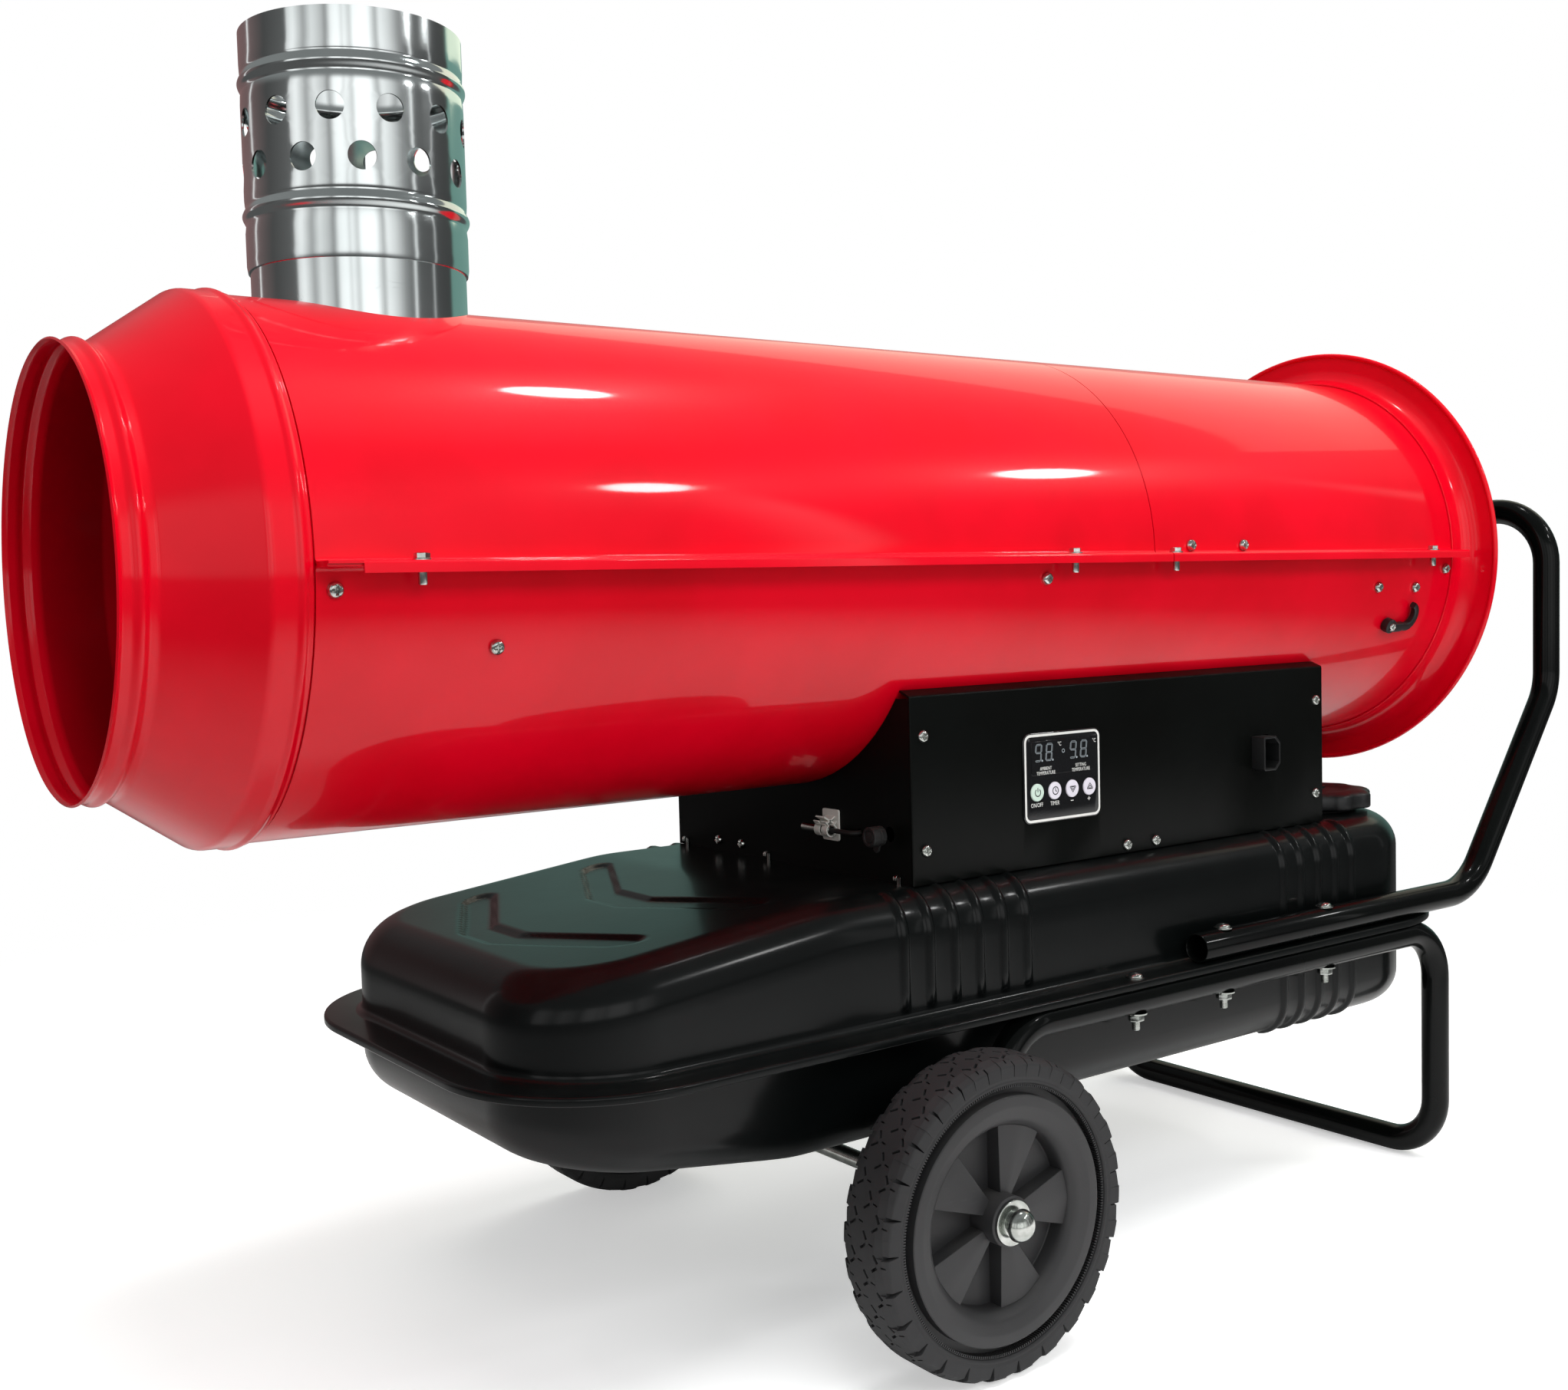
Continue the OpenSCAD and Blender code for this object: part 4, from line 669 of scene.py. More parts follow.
@dataclass
class Piece:
    """One finished piece of the object."""

    name: str
    shape: Shape
    finish: Finish
    replaces: tuple[str, ...] = ()
    body: str = "base"
    wall: float = 0.0
    bevel: float = 0.0
    crease: float = 40.0
    slot: Slot | None = None

    def __post_init__(self) -> None:
        """Takes the finish's slot where no other is named."""
        self.slot = self.slot or self.finish.slot

    def build(self) -> Object:
        """Makes the object: points merged, faces pointing outwards, shading smooth up to the crease.

        A sheet, whose wall isn't zero, keeps its faces as they are laid and gets a wall inwards.
        """
        mesh = bpy.data.meshes.new(self.name)
        points = (np.concatenate(self.shape.points) - [MID_X, 0, 0]) * MM
        faces = [f for block in self.shape.faces for f in block.tolist()]
        mesh.from_pydata(points.tolist(), [], faces)
        with edited(mesh) as bm:
            bmesh.ops.remove_doubles(bm, verts=bm.verts, dist=MERGE)
            if not self.wall:
                bmesh.ops.recalc_face_normals(bm, faces=bm.faces)
        obj = linked(self.name, mesh)
        mesh.materials.append(self.finish.material())
        if self.wall:
            m = obj.modifiers.new("wall", "SOLIDIFY")
            m.thickness, m.offset, m.use_even_offset = self.wall * MM, -1.0, True
            mesh = baked(obj)
        smooth(mesh, self.crease)
        if self.bevel:
            bevelled(obj, self.bevel, 3, 32)
        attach(obj, self.body)
        if self.replaces:
            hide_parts(*self.replaces)
        log.info("%s: %d faces on %s", self.name, len(mesh.polygons), self.body)
        return obj


def cut(obj: Object, tool: Shape, crease: float = 40.0) -> None:
    """Cuts a closed shape out of a piece and keeps the result as its mesh.

    Args:
        obj: the piece.
        tool: the shape to cut out.
        crease: edges above this angle are sharp, in degrees.
    """
    cutter = Piece("cutter", tool, PLASTIC).build()
    m = obj.modifiers.new("cut", "BOOLEAN")
    m.operation, m.solver, m.object = "DIFFERENCE", "EXACT", cutter
    baked(obj).set_sharp_from_angle(angle=math.radians(crease))
    bpy.data.objects.remove(cutter)


def dress(node: str, finish: Finish, body: str = "base", slot: Slot | None = None,
          round_by: float = 0.0) -> Object:
    """Stands a merged, smoothly shaded copy of a CAD node in its place, with a finish.

    Args:
        node: the CAD node.
        finish: the finish of the copy.
        body: the body that it rides on.
        slot: not used; the finish's slot stands in where it is not given, and nothing reads either.
        round_by: the radius given to sharp edges, once flat faces are joined; 0 leaves them.

    Returns:
        The copy.
    """
    slot = slot or finish.slot
    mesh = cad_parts[node].data.copy()
    mesh.name = node + "_smooth"
    with edited(mesh) as bm:
        bmesh.ops.remove_doubles(bm, verts=bm.verts, dist=CAD_MERGE)
        bmesh.ops.dissolve_degenerate(bm, edges=bm.edges, dist=1e-6)
    for name in [a.name for a in mesh.attributes if a.name in ("custom_normal", "sharp_edge", "sharp_face")]:
        mesh.attributes.remove(mesh.attributes[name])
    smooth(mesh, 35.0)
    mesh.materials.clear()
    mesh.materials.append(finish.material())
    obj = linked(node + "_smooth", mesh)
    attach(obj, body)
    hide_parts(node)
    if round_by:
        with edited(mesh) as bm:
            bmesh.ops.dissolve_limit(bm, angle_limit=math.radians(0.6), verts=bm.verts, edges=bm.edges)
        bevelled(obj, round_by, 2, 35)
    return obj


# The barrel

@dataclass
class Screw:
    """A pan-head screw with a cross recess."""

    head: float = 9.0
    rise: float = 2.8
    slot_w: float = 1.1
    slot_l: float = 2.5
    depth: float = 1.3
    rings: int = 9
    turns: int = 32

    def shape(self) -> Shape:
        """A dome over a polar grid, less a cross: z = rise (1 - (r / R)^4)^0.6 - depth cross(x, y), on a short rim."""
        full = self.head / 2
        r = full * np.linspace(0.08, 1, self.rings)[:, None]
        t = np.arange(self.turns)[None] * math.tau / self.turns
        dome = self.rise * (1 - np.clip(r / full, 0, 1) ** 4) ** 0.6 + 0.5
        cap = polar(r, t, dome)
        flat = np.abs(cap[..., :2])
        near, thin = flat.max(-1) / self.slot_l, flat.min(-1) / (self.slot_w / 2)
        cap[..., 2] -= self.depth * (1 - soft(0.8, 1.1, near)) * (1 - soft(0.8, 1.3, thin))
        foot = cap[-1] * [1, 1, 0]
        return Shape().grid(cap, "v").grid(np.stack([cap[-1], foot]), "v").fill(cap[0]).fill(foot)


@dataclass
class Barrel:
    """The red barrel: outlet cone, three shells with joined lips, inlet bell and fan guard."""

    r: float = BARREL_R
    x_front: float = -395.0
    x_split: float = 235.0
    x_rear: float = 610.0
    x_outlet: float = -484.0
    outlet_r: float = 128.0
    wall: float = 1.5
    lip: float = 18.0
    drop: float = 5.0
    fillet: float = 2.6
    tile: float = 90.0
    tile_turn: float = 36.0
    tile_n: int = 28
    guard: tuple[float, float, float] = (171.5, 633.3, 1.5)
    hook: Pair = (531.0, -59.0)
    lip_bolts: tuple[float, ...] = (-341.0, 143.0, 247.0, 569.0)
    screws: tuple[Pair, ...] = (
        (-385.0, -13.0), (-292.0, -46.0), (125.0, -15.0), (274.0, 7.0),
        (334.0, 7.0), (509.0, -28.0), (561.0, -29.0), (602.0, -14.0))

    def _section(self, reach: float) -> tuple[Array, Array]:
        """Half a shell in (distance from the middle, height from the axis), and the angles of the tile on top.

        The half runs from the lip round a fillet and up an arc. The fillet's centre lies at height
        wall + fillet and at distance r + fillet from the barrel's axis.
        """
        h = self.wall + self.fillet
        y = math.sqrt((self.r + self.fillet) ** 2 - h * h)
        first, last = math.atan2(h, y), math.radians(90 - self.tile_turn)
        corner = polar(self.fillet, np.linspace(-math.pi / 2, first - math.pi, 6)) + [y, h]
        arc = polar(self.r, np.linspace(first, last, 24)[1:])
        return np.concatenate([[[reach, self.wall]], corner, arc]), np.linspace(last, math.pi - last, self.tile_n + 1)

    def _upper(self, name: str, x0: float, x1: float, flue: bool) -> Piece:
        """An upper shell: two lips, the arc, and a turned-down edge that starts behind the front seam.

        The arc is (x, -r cos a, r sin a); round the flue it is a holed tile in x and a, whose hole is
        x = flue + s cos t, a = 90 deg + asin(s sin t / r).

        Args:
            name: the piece's name.
            x0, x1: its ends.
            flue: whether the flue's hole is in it.

        Returns:
            The piece.
        """
        half, top = self._section(self.r + self.lip - 2.0)
        near, far = half * [-1, 1], half[::-1]
        line = np.concatenate([near, (polar(self.r, top) * [-1, 1])[1:-1], far])
        s, n, start = Shape(), self.tile_n, 0
        x = np.linspace(x0, x1, 7)
        runs = [(slice(None), line)]
        if flue:
            tile_x = np.linspace(FLUE_X - self.tile, FLUE_X + self.tile, n + 1)
            x, start = np.concatenate([[x0], tile_x, np.linspace(tile_x[-1], x1, 9)[1:]]), 3
            rows = slice(1, n + 2)
            runs = [(slice(0, 2), line), (slice(n + 1, None), line), (rows, near), (rows, far)]
        for run, profile in runs:
            s.grid(drawn(x[run], profile, BARREL_Z))
        if flue:
            hole = STUB_R + 0.3
            uv = holed_tile([tile_x[0], top[0] * self.r], [tile_x[-1], top[-1] * self.r], n, lambda t: np.stack([
                FLUE_X + hole * np.cos(t), self.r * (math.pi / 2 + np.arcsin(hole * np.sin(t) / self.r))], axis=-1), 6)
            a = uv[..., 1] / self.r
            s.grid(np.stack([uv[..., 0], -self.r * np.cos(a), BARREL_Z + self.r * np.sin(a)], axis=-1), "v")
        edge = self.r + self.lip
        flat = np.array([[edge - 2, self.wall], [edge, self.wall]])
        turn = rounded([*flat, [edge, -self.drop]], [0, 1.99, 0], 5)
        for side in (-1, 1):
            for profile, run in ((turn, x[start:]), (flat, x[:start + 1]))[:2 if flue else 1]:
                s.grid(drawn(run, (profile * [side, 1])[::side], BARREL_Z))
        return Piece(name, s, RED, (name.replace("_skin", ""),), wall=self.wall, crease=55)

    def _lower(self) -> Piece:
        """The lower shell: the same section turned over, with narrower lips that lie under the upper ones."""
        half, top = self._section(self.r + self.lip - 1.8)
        line = np.concatenate([half, polar(self.r, top)[1:-1], (half * [-1, 1])[::-1]]) * [1, -1]
        s = Shape().grid(drawn(np.linspace(self.x_front, self.x_rear, 13), line, BARREL_Z))
        return Piece("lower_shell_skin", s, RED, ("lower_shell",), wall=self.wall, crease=55)

    def _cone(self) -> Piece:
        """The outlet: collar with a bead, cone, ring with a bead, and the spigot inside the barrel."""
        ring, low = self.r + self.wall, self.outlet_r
        bends = rounded([[low + 1.4, self.x_outlet + 0.2], [low, self.x_outlet + 2.2], [low, -464], [ring, -418],
                         [ring, -396.3], [self.r - 2.2, -396.3], [self.r - 2.2, -380]], [0, 2, 5, 7, 0.8, 0.5, 0], 6)
        span = np.concatenate([[0], np.cumsum(np.linalg.norm(np.diff(bends, axis=0), axis=1))])
        t = np.linspace(0, 1, 280) * span[-1]
        line = np.stack([np.interp(t, span, bends[:, i]) for i in (0, 1)], axis=-1)
        for x, rise, w, least in ((-472.6, 2.3, 5.0, low - 1), (-401.8, 1.5, 3.6, ring - 0.1)):
            on = (line[:, 0] > least) & (line[:, 0] < ring + 0.1)
            line[:, 0] += on * rise * bead((line[:, 1] - x) / w)
        s = Shape().turned(sheet_loop(line, -self.wall), 144, "uv")
        return Piece("outlet_cone_skin", s.moved(ON_BARREL), RED, ("outlet_cone",), crease=50)

    def _lining(self) -> Piece:
        """The inside of the barrel behind the outlet in painted shade: a thin tube just inside the shells, in red
        darkened to stand for the shade there.
        """
        r = self.r - self.wall - 0.9
        s = Shape().turned([[r, -379], [r, 592], [r - 0.4, 592], [r - 0.4, -379]], 128, "uv")
        return Piece("barrel_shade_lining", s.moved(ON_BARREL), RED_PAINTED_SHADE)

    def _bell(self) -> Piece:
        """The inlet bell: spigot, land, a throat that curves outwards, a flange and a rolled rim."""
        ring = self.r + self.wall
        line = rounded([[self.r - 1.8, 595], [self.r - 1.8, 610.4], [ring, 610.4], [ring, 616.5],
                        [ring, 631.5], [186.4, 631.5]], [0, 0.4, 0.6, 0, 14.9, 0], 10)
        s = Shape().turned(sheet_loop(line, -1.4), 144, "uv").turned(circle(2.15, 20) + [186.8, 632.1], 144, "uv")
        return Piece("inlet_bell_skin", s.moved(ON_BARREL), RED, ("inlet_bell",), crease=50)

    def _guard(self) -> Piece:
        """The fan guard: round rings on eight crossed rods, with four flat tabs under its screws."""
        out, x, r = self.guard
        pitch = out / 8
        s = Shape()
        for i in range(1, 9):
            s.turned(circle(r, 12) + [i * pitch, x + 5.4], 96, "uv")
        rod = Shape().tube([[pitch, 0, x + 3], [out, 0, x + 3]], r, UP, 12)
        tab = Shape().slab(rounded_box(17.4, 14, 3) + [166, 0], x, x + 2.2)
        turns = [spun(math.radians(a)) for a in range(0, 360, 45)]
        s.plus(rod.moved(*turns), tab.moved(*turns[1::2]))
        s.turned([[0, x + 2.2], [9, x + 2.2], [9, x + 6.6], [0, x + 6.6]], 32)
        return Piece("fan_guard_wires", s.moved(ON_BARREL), BLACK, ("fan_guard",))

    def _at(self, x: float, h: float, out: float) -> Array:
        """The place of something on the barrel's near side at station x and height h from its axis."""
        a = math.asin(h / self.r)
        d = (0.0, -math.cos(a), math.sin(a))
        return placed(x, d[1] * (self.r + out), BARREL_Z + d[2] * (self.r + out), axis=d)

    def _fasteners(self) -> Piece:
        """Screws along both sides, bolts through the lips, the guard's screws and the hook's screw."""
        screw = Screw().shape().moved(*[self._at(x, h, 0.35) for x, h in self.screws])
        bolt = Shape().turned([[0, 0], [5.2, 0], [5.2, 0.7], [4.6, 1.1], [0, 1.1]], 32)
        bolt.slab(circle(4.3, 6, math.pi / 6), 1.0, 3.6)
        bolt.turned([[0, 4.0], [3.0, 4.0], [3.9, 3.55], [3.9, 3.4], [0, 3.4]], 24)
        bolt.slab(circle(4.5, 6, 0.2), -5.6, -1.7).turned([[0, -13], [2.1, -13], [2.5, -12.3], [2.5, -5]], 20)
        y = -(self.r + self.lip / 2 + 0.5)
        lips = bolt.moved(*[placed(x, y, BARREL_Z + self.wall) for x in self.lip_bolts])
        r = (self.guard[0] + 189) / 2
        small = Screw(head=8).shape().moved(*[placed(635.8, r * math.sin(t), BARREL_Z - r * math.cos(t), axis=REAR)
                                              for t in np.radians([45, 135, 225, 315])])
        hook = Screw(head=7, rise=2.0).shape().moved(self._at(*self.hook, 7.4))
        return Piece("barrel_fasteners", screw.plus(lips).mirrored().plus(small, hook), ZINC, ("shell_fasteners",))

    def _hook(self) -> Piece:
        """The cable hook: a flat bar from an eye, turned up into an open ring, with soft edges."""
        ring = polar(10, np.radians(np.linspace(-112, 70, 22))) + [21.5, 8.5]
        path = level(np.concatenate([[[-5.5, -1.5], [6, -1.5], [14, -1.5]], ring]), 3.8)
        k = np.concatenate([[0.75, 1.12, 1.05], np.linspace(1, 0.72, len(ring))])
        s = Shape().loft(carried(path, rounded_box(6.8, 6.6, 1.6, 4), UP, k))
        s.turned([[0, 0.2], [5.6, 0.2], [6.2, 0.9], [6.2, 6.4], [5.6, 7.1], [0, 7.1]], 32)
        return Piece("cable_hook_bar", s.moved(self._at(*self.hook, 0.3)), PLASTIC, ("cable_hook",))

    def build(self) -> None:
        """Builds every piece of the barrel."""
        for piece in (self._upper("upper_shell_front_skin", self.x_front, self.x_split - 0.5, True),
                      self._upper("upper_shell_rear_skin", self.x_split + 0.3, self.x_rear, False),
                      self._lower(), self._cone(), self._lining(), self._bell(), self._guard(),
                      self._fasteners(), self._hook()):
            piece.build()


@dataclass
class Flue:
    """The flue stub and the draft pipe with its two rows of holes."""

    pipe_r: float = 65.8
    z: float = 694.0
    length: float = 141.0
    holes: int = 12
    hole_r: float = 8.25
    row_z: Pair = (57.0, 85.0)
    beads: Pair = (33.0, 111.0)
    bead_rise: float = 1.45
    bead_w: float = 4.6
    first: float = 11.0
    n: int = 12

    def _radius(self, z: Array) -> Array:
        """The pipe's outer radius at height z: a rise over each bead, a hollow beside it, and a rim turned in."""
        r = np.full(np.shape(z), self.pipe_r)
        for b in self.beads:
            r = r + self.bead_rise * bead((z - b) / self.bead_w) - 0.5 * np.exp(-((np.abs(z - b) - 5.5) / 1.6) ** 2)
        return r - 0.6 * soft(3.0, 0.0, z)

    def _wall(self, uv: Array) -> Array:
        """Points of the wall for lengths u round the pipe and heights v, with the angle u / pipe_r."""
        return polar(self._radius(uv[..., 1]), uv[..., 0] / self.pipe_r, uv[..., 1])

    def _pipe(self) -> Piece:
        """The draft pipe: a tile for each hole, and plain rings above and below that meet the tiles."""
        s = Shape()
        half = math.pi / self.holes * self.pipe_r
        gap = (self.row_z[1] - self.row_z[0]) / 2
        first = math.radians(self.first) * self.pipe_r
        for row, z in enumerate(self.row_z):
            for i in range(self.holes):
                mid, reach = np.array([first + (2 * i + row) * half, z]), np.array([half, gap])
                uv = holed_tile(mid - reach, mid + reach, self.n, lambda t: mid + polar(self.hole_r, t), 3)
                s.grid(self._wall(uv), "v")
        u = first - half + np.arange(self.holes * self.n)[:, None] * 2 * half / self.n
        low = np.concatenate([np.linspace(0, 27, 8), np.linspace(27, 40, 22)[1:], [self.row_z[0] - gap]])
        high = np.concatenate([[self.row_z[1] + gap], np.linspace(104, 118, 22), np.linspace(118, self.length, 6)[1:]])
        for z, shift in ((low, 0.0), (high, half)):
            s.grid(self._wall(np.stack(np.broadcast_arrays(u + shift, z), axis=-1)), "u")
        return Piece("draft_pipe_sheet", s.moved(placed(FLUE_X, 0, self.z)), FLUE, ("draft_pipe",), wall=1.1, crease=50)

    def _seam(self) -> Piece:
        """The pipe's lap seam at the back: a thin strip that follows the wall, one sheet proud."""
        z = np.linspace(1.0, self.length - 1, 90)[:, None]
        proud = np.array([0.0, 0.55, 0.55, 0.55, 0.55, 0.0])
        p = polar(self._radius(z) + 0.05 + proud, np.radians(np.linspace(62, 70, 6)), z)
        loop = np.concatenate([p, (p * [0.992, 0.992, 1])[:, ::-1]], axis=1)
        return Piece("draft_pipe_seam", Shape().loft(loop).moved(placed(FLUE_X, 0, self.z)), FLUE)

    def _stub(self) -> Piece:
        """The stub: a plain tube whose foot passes into the barrel."""
        r = STUB_R
        s = Shape().turned([[r, 644], [r, 716], [r - 1.5, 716], [r - 1.5, 644]], 128, "uv")
        return Piece("flue_stub_tube", s.moved(placed(FLUE_X)), FLUE, ("flue_stub",))

    def build(self) -> None:
        """Builds the flue."""
        for piece in (self._pipe(), self._seam(), self._stub()):
            piece.build()


# The tank

@dataclass
class Tank:
    """The pressed tank: two shells that meet at a wide hemmed flange, with ribs and V recesses."""

    x0: float = -277.0
    x1: float = 577.0
    half: float = 163.0
    corner: float = 78.0
    edge: float = 28.0
    flange: float = 26.0
    foot: float = 5.0
    floor_z: float = 136.0
    slope_x: float = -63.0
    slope: float = 6.5
    keel_x: float = -97.0
    keel_slope: float = 8.2
    rib_h: float = 2.6
    rib_pitch: float = 22.0
    front_ribs: tuple[float, int] = (-14.0, 6)
    rear_ribs: tuple[float, int] = (374.0, 5)
    sheet: float = 1.6
    recess_tips: Pair = (-176.0, -80.0)
    recess_depth: float = 2.2
    recess_bar: float = 12.0
    recess_bend: float = 20.0
    recess_reach: float = 98.0
    arc_n: int = 14
    end_n: int = 68

    def _stations(self) -> Array:
        """Stations along a straight side: close where the sheet has relief, wide elsewhere."""
        a, b = self.x0 + self.corner, self.x1 - self.corner
        rib = np.array([-5.2, -4.2, -3.2, -2.2, -1.0, 1.0, 2.2, 3.2, 4.2, 5.2])
        ribs = [first + i * self.rib_pitch + rib for first, n in (self.front_ribs, self.rear_ribs) for i in range(n)]
        plain = [np.arange(a, -20, 2.5), np.linspace(103, 366, 20), np.linspace(470, b, 4)]
        return np.unique(np.concatenate(ribs + plain))

    def _contour(self) -> tuple[Array, Array, list[int]]:
        """The plan as base points and outward directions, in four sides that meet at 45 degrees in the corners.

        A point of the plan moved in by d is base + (corner - d) direction. The sides run along the
        front, the far side, the rear and the near side, and each keeps its own start.

        Returns:
            Base points, directions, and the index at which each side starts.
        """
        a, b, w = self.x0 + self.corner, self.x1 - self.corner, self.half - self.corner
        q = np.radians(np.linspace(0, 45, self.arc_n + 1))
        end = np.linspace(-w, w, self.end_n + 1)[:, None] * [0, 1]
        long = level(self._stations()[:, None], w)
        base, out, starts = [], [], [0]
        for quarter, c0, c1, run in ((2, (a, w), (a, -w), end[::-1] + [a, 0]), (3, (a, -w), (b, -w), long * [1, -1]),
                                     (0, (b, -w), (b, w), end + [b, 0]), (1, (b, w), (a, w), long[::-1])):
            start = quarter * math.pi / 2
            base += [np.tile(c0, (self.arc_n, 1)), run, np.tile(c1, (self.arc_n - 1, 1))]
            out += [start - q[-1] + q[:-1], np.full(len(run), start), start + q[1:-1]]
            starts.append(starts[-1] + 2 * self.arc_n - 1 + len(run))
        return np.concatenate(base), polar(1.0, np.concatenate(out)), starts

    def _far_z(self, x: Array, up: bool) -> Array:
        """Height of the top's or the floor's face at station x: forward of a station it slopes, eased in over 10 mm."""
        start, slope = (self.slope_x, self.slope) if up else (self.keel_x, self.keel_slope)
        back = (start - x) / 5.0
        ease = 5.0 * np.where(back > 20, back, np.log1p(np.exp(np.clip(back, -30, 20))))
        return (TANK_TOP if up else self.floor_z) + (-1 if up else 1) * math.tan(math.radians(slope)) * ease

    def _rib(self, x: Array, groups: tuple) -> Array:
        """Share of the rib height at station x: a flat crest 3 mm wide with rounded flanks."""
        out = np.zeros(np.shape(x))
        for first, count in groups:
            i = np.clip(np.round((x - first) / self.rib_pitch), 0, count - 1)
            out = np.maximum(out, 1 - soft(1.2, 4.6, np.abs(x - first - i * self.rib_pitch)))
        return out

    def _recess(self, x: Array, y: Array) -> Array:
        """Depth of the two V recesses, inside a bar to both sides of a bent centre line.

        The line is x = tip + bar + (|y| - bend) / 2 for |y| over bend, and the bar ends round at |y| = reach.
        """
        depth = np.zeros(np.shape(x))
        for tip in self.recess_tips:
            off = x - self.slope_x - (tip + self.recess_bar + 0.5 * np.maximum(np.abs(y) - self.recess_bend, 0.0))
            past = np.maximum(np.abs(y) - self.recess_reach, 0.0)
            inside = 1 - soft(9.0, self.recess_bar, np.sqrt(past ** 2 + (off * 0.9) ** 2))
            depth = np.maximum(depth, self.recess_depth * inside)
        return depth

    @staticmethod
    def _patch(ring: Array, starts: list[int]) -> Array:
        """A grid across a closed ring of four sides.

        Point (s, t) is (1 - t) bottom(s) + t top(s) + (1 - s) left(t) + s right(t), less the same
        mix of the four corners.
        """
        a, b, c, d = (ring[np.arange(starts[i], starts[i + 1] + 1) % len(ring)] for i in range(4))
        c, d = c[::-1], d[::-1]
        s = np.linspace(0, 1, len(b))[:, None, None]
        t = np.linspace(0, 1, len(a))[None, :, None]
        run = (1 - t) * d[:, None] + t * b[:, None] + (1 - s) * a[None] + s * c[None]
        return run - ((1 - s) * ((1 - t) * a[0] + t * a[-1]) + s * ((1 - t) * c[0] + t * c[-1]))

    def _rows(self, sign: int) -> Array:
        """Rows from the seam out along the flange, round its edge, back in, up the wall and over to the far face.

        Row (d, w, a, b, n) lies d in from the wall at height (1 - w) a + w (far + b), where far is the
        height of the far face, and n is how far its normal has turned from level, in degrees.
        """
        out, top = -self.flange, SEAM_Z + sign * self.sheet
        rows = [(2.0, SEAM_Z)]
        if sign > 0:
            rows += [(out + d, SEAM_Z - z) for d, z in ((1.6, 0.0), (1.5, 3.4), (0.6, 4.0), (0.05, 3.4))]
            rows += [(out + 2.0 * (1 - math.cos(q)), top - 2.0 * (1 - math.sin(q)))
                     for q in np.radians(np.linspace(0, 90, 6))]
        else:
            rows += [(out + 2.0, SEAM_Z), (out + 2.0, top)]
        rows += [(-self.foot * (1 - math.sin(q)), top + sign * self.foot * (1 - math.cos(q)))
                 for q in np.radians(np.linspace(0, 90, 7))]
        flat = [(d, 0, z, 0, 0) for d, z in rows]
        wall = [(0.0, k, top + sign * self.foot, -sign * self.edge, 0) for k in (0.04, 0.08, 0.12, 0.3, 0.55, 0.8)]
        arc = [(self.edge * (1 - math.cos(q)), 1.0, 0.0, -sign * self.edge * (1 - math.sin(q)), math.degrees(q))
               for q in np.radians(np.linspace(0, 90, 13))]
        return np.array(flat + wall + arc, float)

    def _shell(self, sign: int, ribs: tuple, fade: float) -> Shape:
        """The upper shell (sign 1) or the lower: rows lofted over the plan, closed across far face and seam.

        Ribs move it along its normal. They fade out at the foot, and at the far face from an angle on.

        Args:
            sign: which shell.
            ribs: the groups of ribs, each as first station and count.
            fade: the angle, in degrees.

        Returns:
            The shell's surface.
        """
        base, out, starts = self._contour()
        d, w, a, b, tilt = self._rows(sign).T[..., None]
        xy = base[None] + (self.corner - d)[..., None] * out[None]
        z = (1 - w) * a + w * (self._far_z(xy[..., 0], sign > 0) + b)
        flat = np.abs(out[:, 1]) > 0.999
        show = soft(0.0, 0.12, w) * (1 - soft(fade, 90.0, tilt)) * flat[None]
        h, turn = self.rib_h * self._rib(xy[..., 0], ribs) * show, np.radians(tilt)
        xy = xy + (h * np.cos(turn))[..., None] * out[None]
        p = np.concatenate([xy, (z + h * np.sin(turn) * sign)[..., None]], axis=-1)
        face = self._patch(p[-1], starts)
        inner = face[1:-1, 1:-1]
        inner[..., 2] = self._far_z(inner[..., 0], sign > 0)
        if sign > 0:
            inner[..., 2] -= self._recess(inner[..., 0], inner[..., 1])
        return Shape().grid(p, "v").grid(face).fill(p[0])

    def _neck(self) -> Piece:
        """The filler neck: a seat with a weld bead, a wall with two thread turns, and a rolled lip."""
        z = np.linspace(2.6, 7.4, 25)
        thread = 37.0 + 0.8 * np.maximum(0, np.cos((z - 2.6) / 2.4 * math.tau))
        line = [[36.0, -15.5], [37.8, -15.5], [37.8, 0.1], [39.2, 0.1], [39.2, 0.9], [38.8, 1.5], [37.2, 1.9],
                *np.column_stack([thread, z]), [37.2, 8.6], [36.8, 9.0], [35.2, 9.0], [35.0, 8.7], [35.0, -15.5]]
        s = Shape().turned(line, 72, "uv")
        return Piece("filler_neck_ring", s.moved(placed(*NECK, TANK_TOP)), BLACK, ("filler_neck",))

    def _cap(self) -> None:
        """Builds the filler cap: ten lobes that fade towards a raised rim, a dished middle and a hollow underside.

        Its outline is r = 50.9 + 2 cos(10 t)^0.7, sign kept, and height falls towards it in a rounded edge.
        """
        t = np.arange(240) * math.tau / 240
        c = np.cos(10 * t)
        lobe = 50.9 + 2.0 * np.sign(c) * np.abs(c) ** 0.7
        k = np.array([0.0, 0.2, 0.45, 0.62, 0.66, 0.7, 0.76, 0.82, 0.9, 0.95, 0.985, 1.0, 1.0, 0.99, 0.98])[:, None]
        z = np.array([16.0, 16.0, 15.9, 15.8, 16.4, 17.4, 17.9, 17.9, 17.3, 16.3, 15.0, 13.6, 4.6, 3.6, 3.1])
        share = soft(0.7, 0.95, k)
        p = polar(k * (48.6 * (1 - share) + lobe * share), t, z[:, None])
        s = Shape().grid(p, "v").fill(p[-1]).slab(rounded_box(40, 9, 3.5), 15.4, 17.8)
        well = Shape().turned([[0, 0], [43.5, 0], [43.5, 10.8], [0, 10.8]])
        on_neck = placed(*NECK, TANK_TOP)
        cut(Piece("filler_cap_lobed", s.moved(on_neck), PLASTIC, ("tank_cap",), "filler_cap", crease=38).build(),
            well.moved(on_neck))

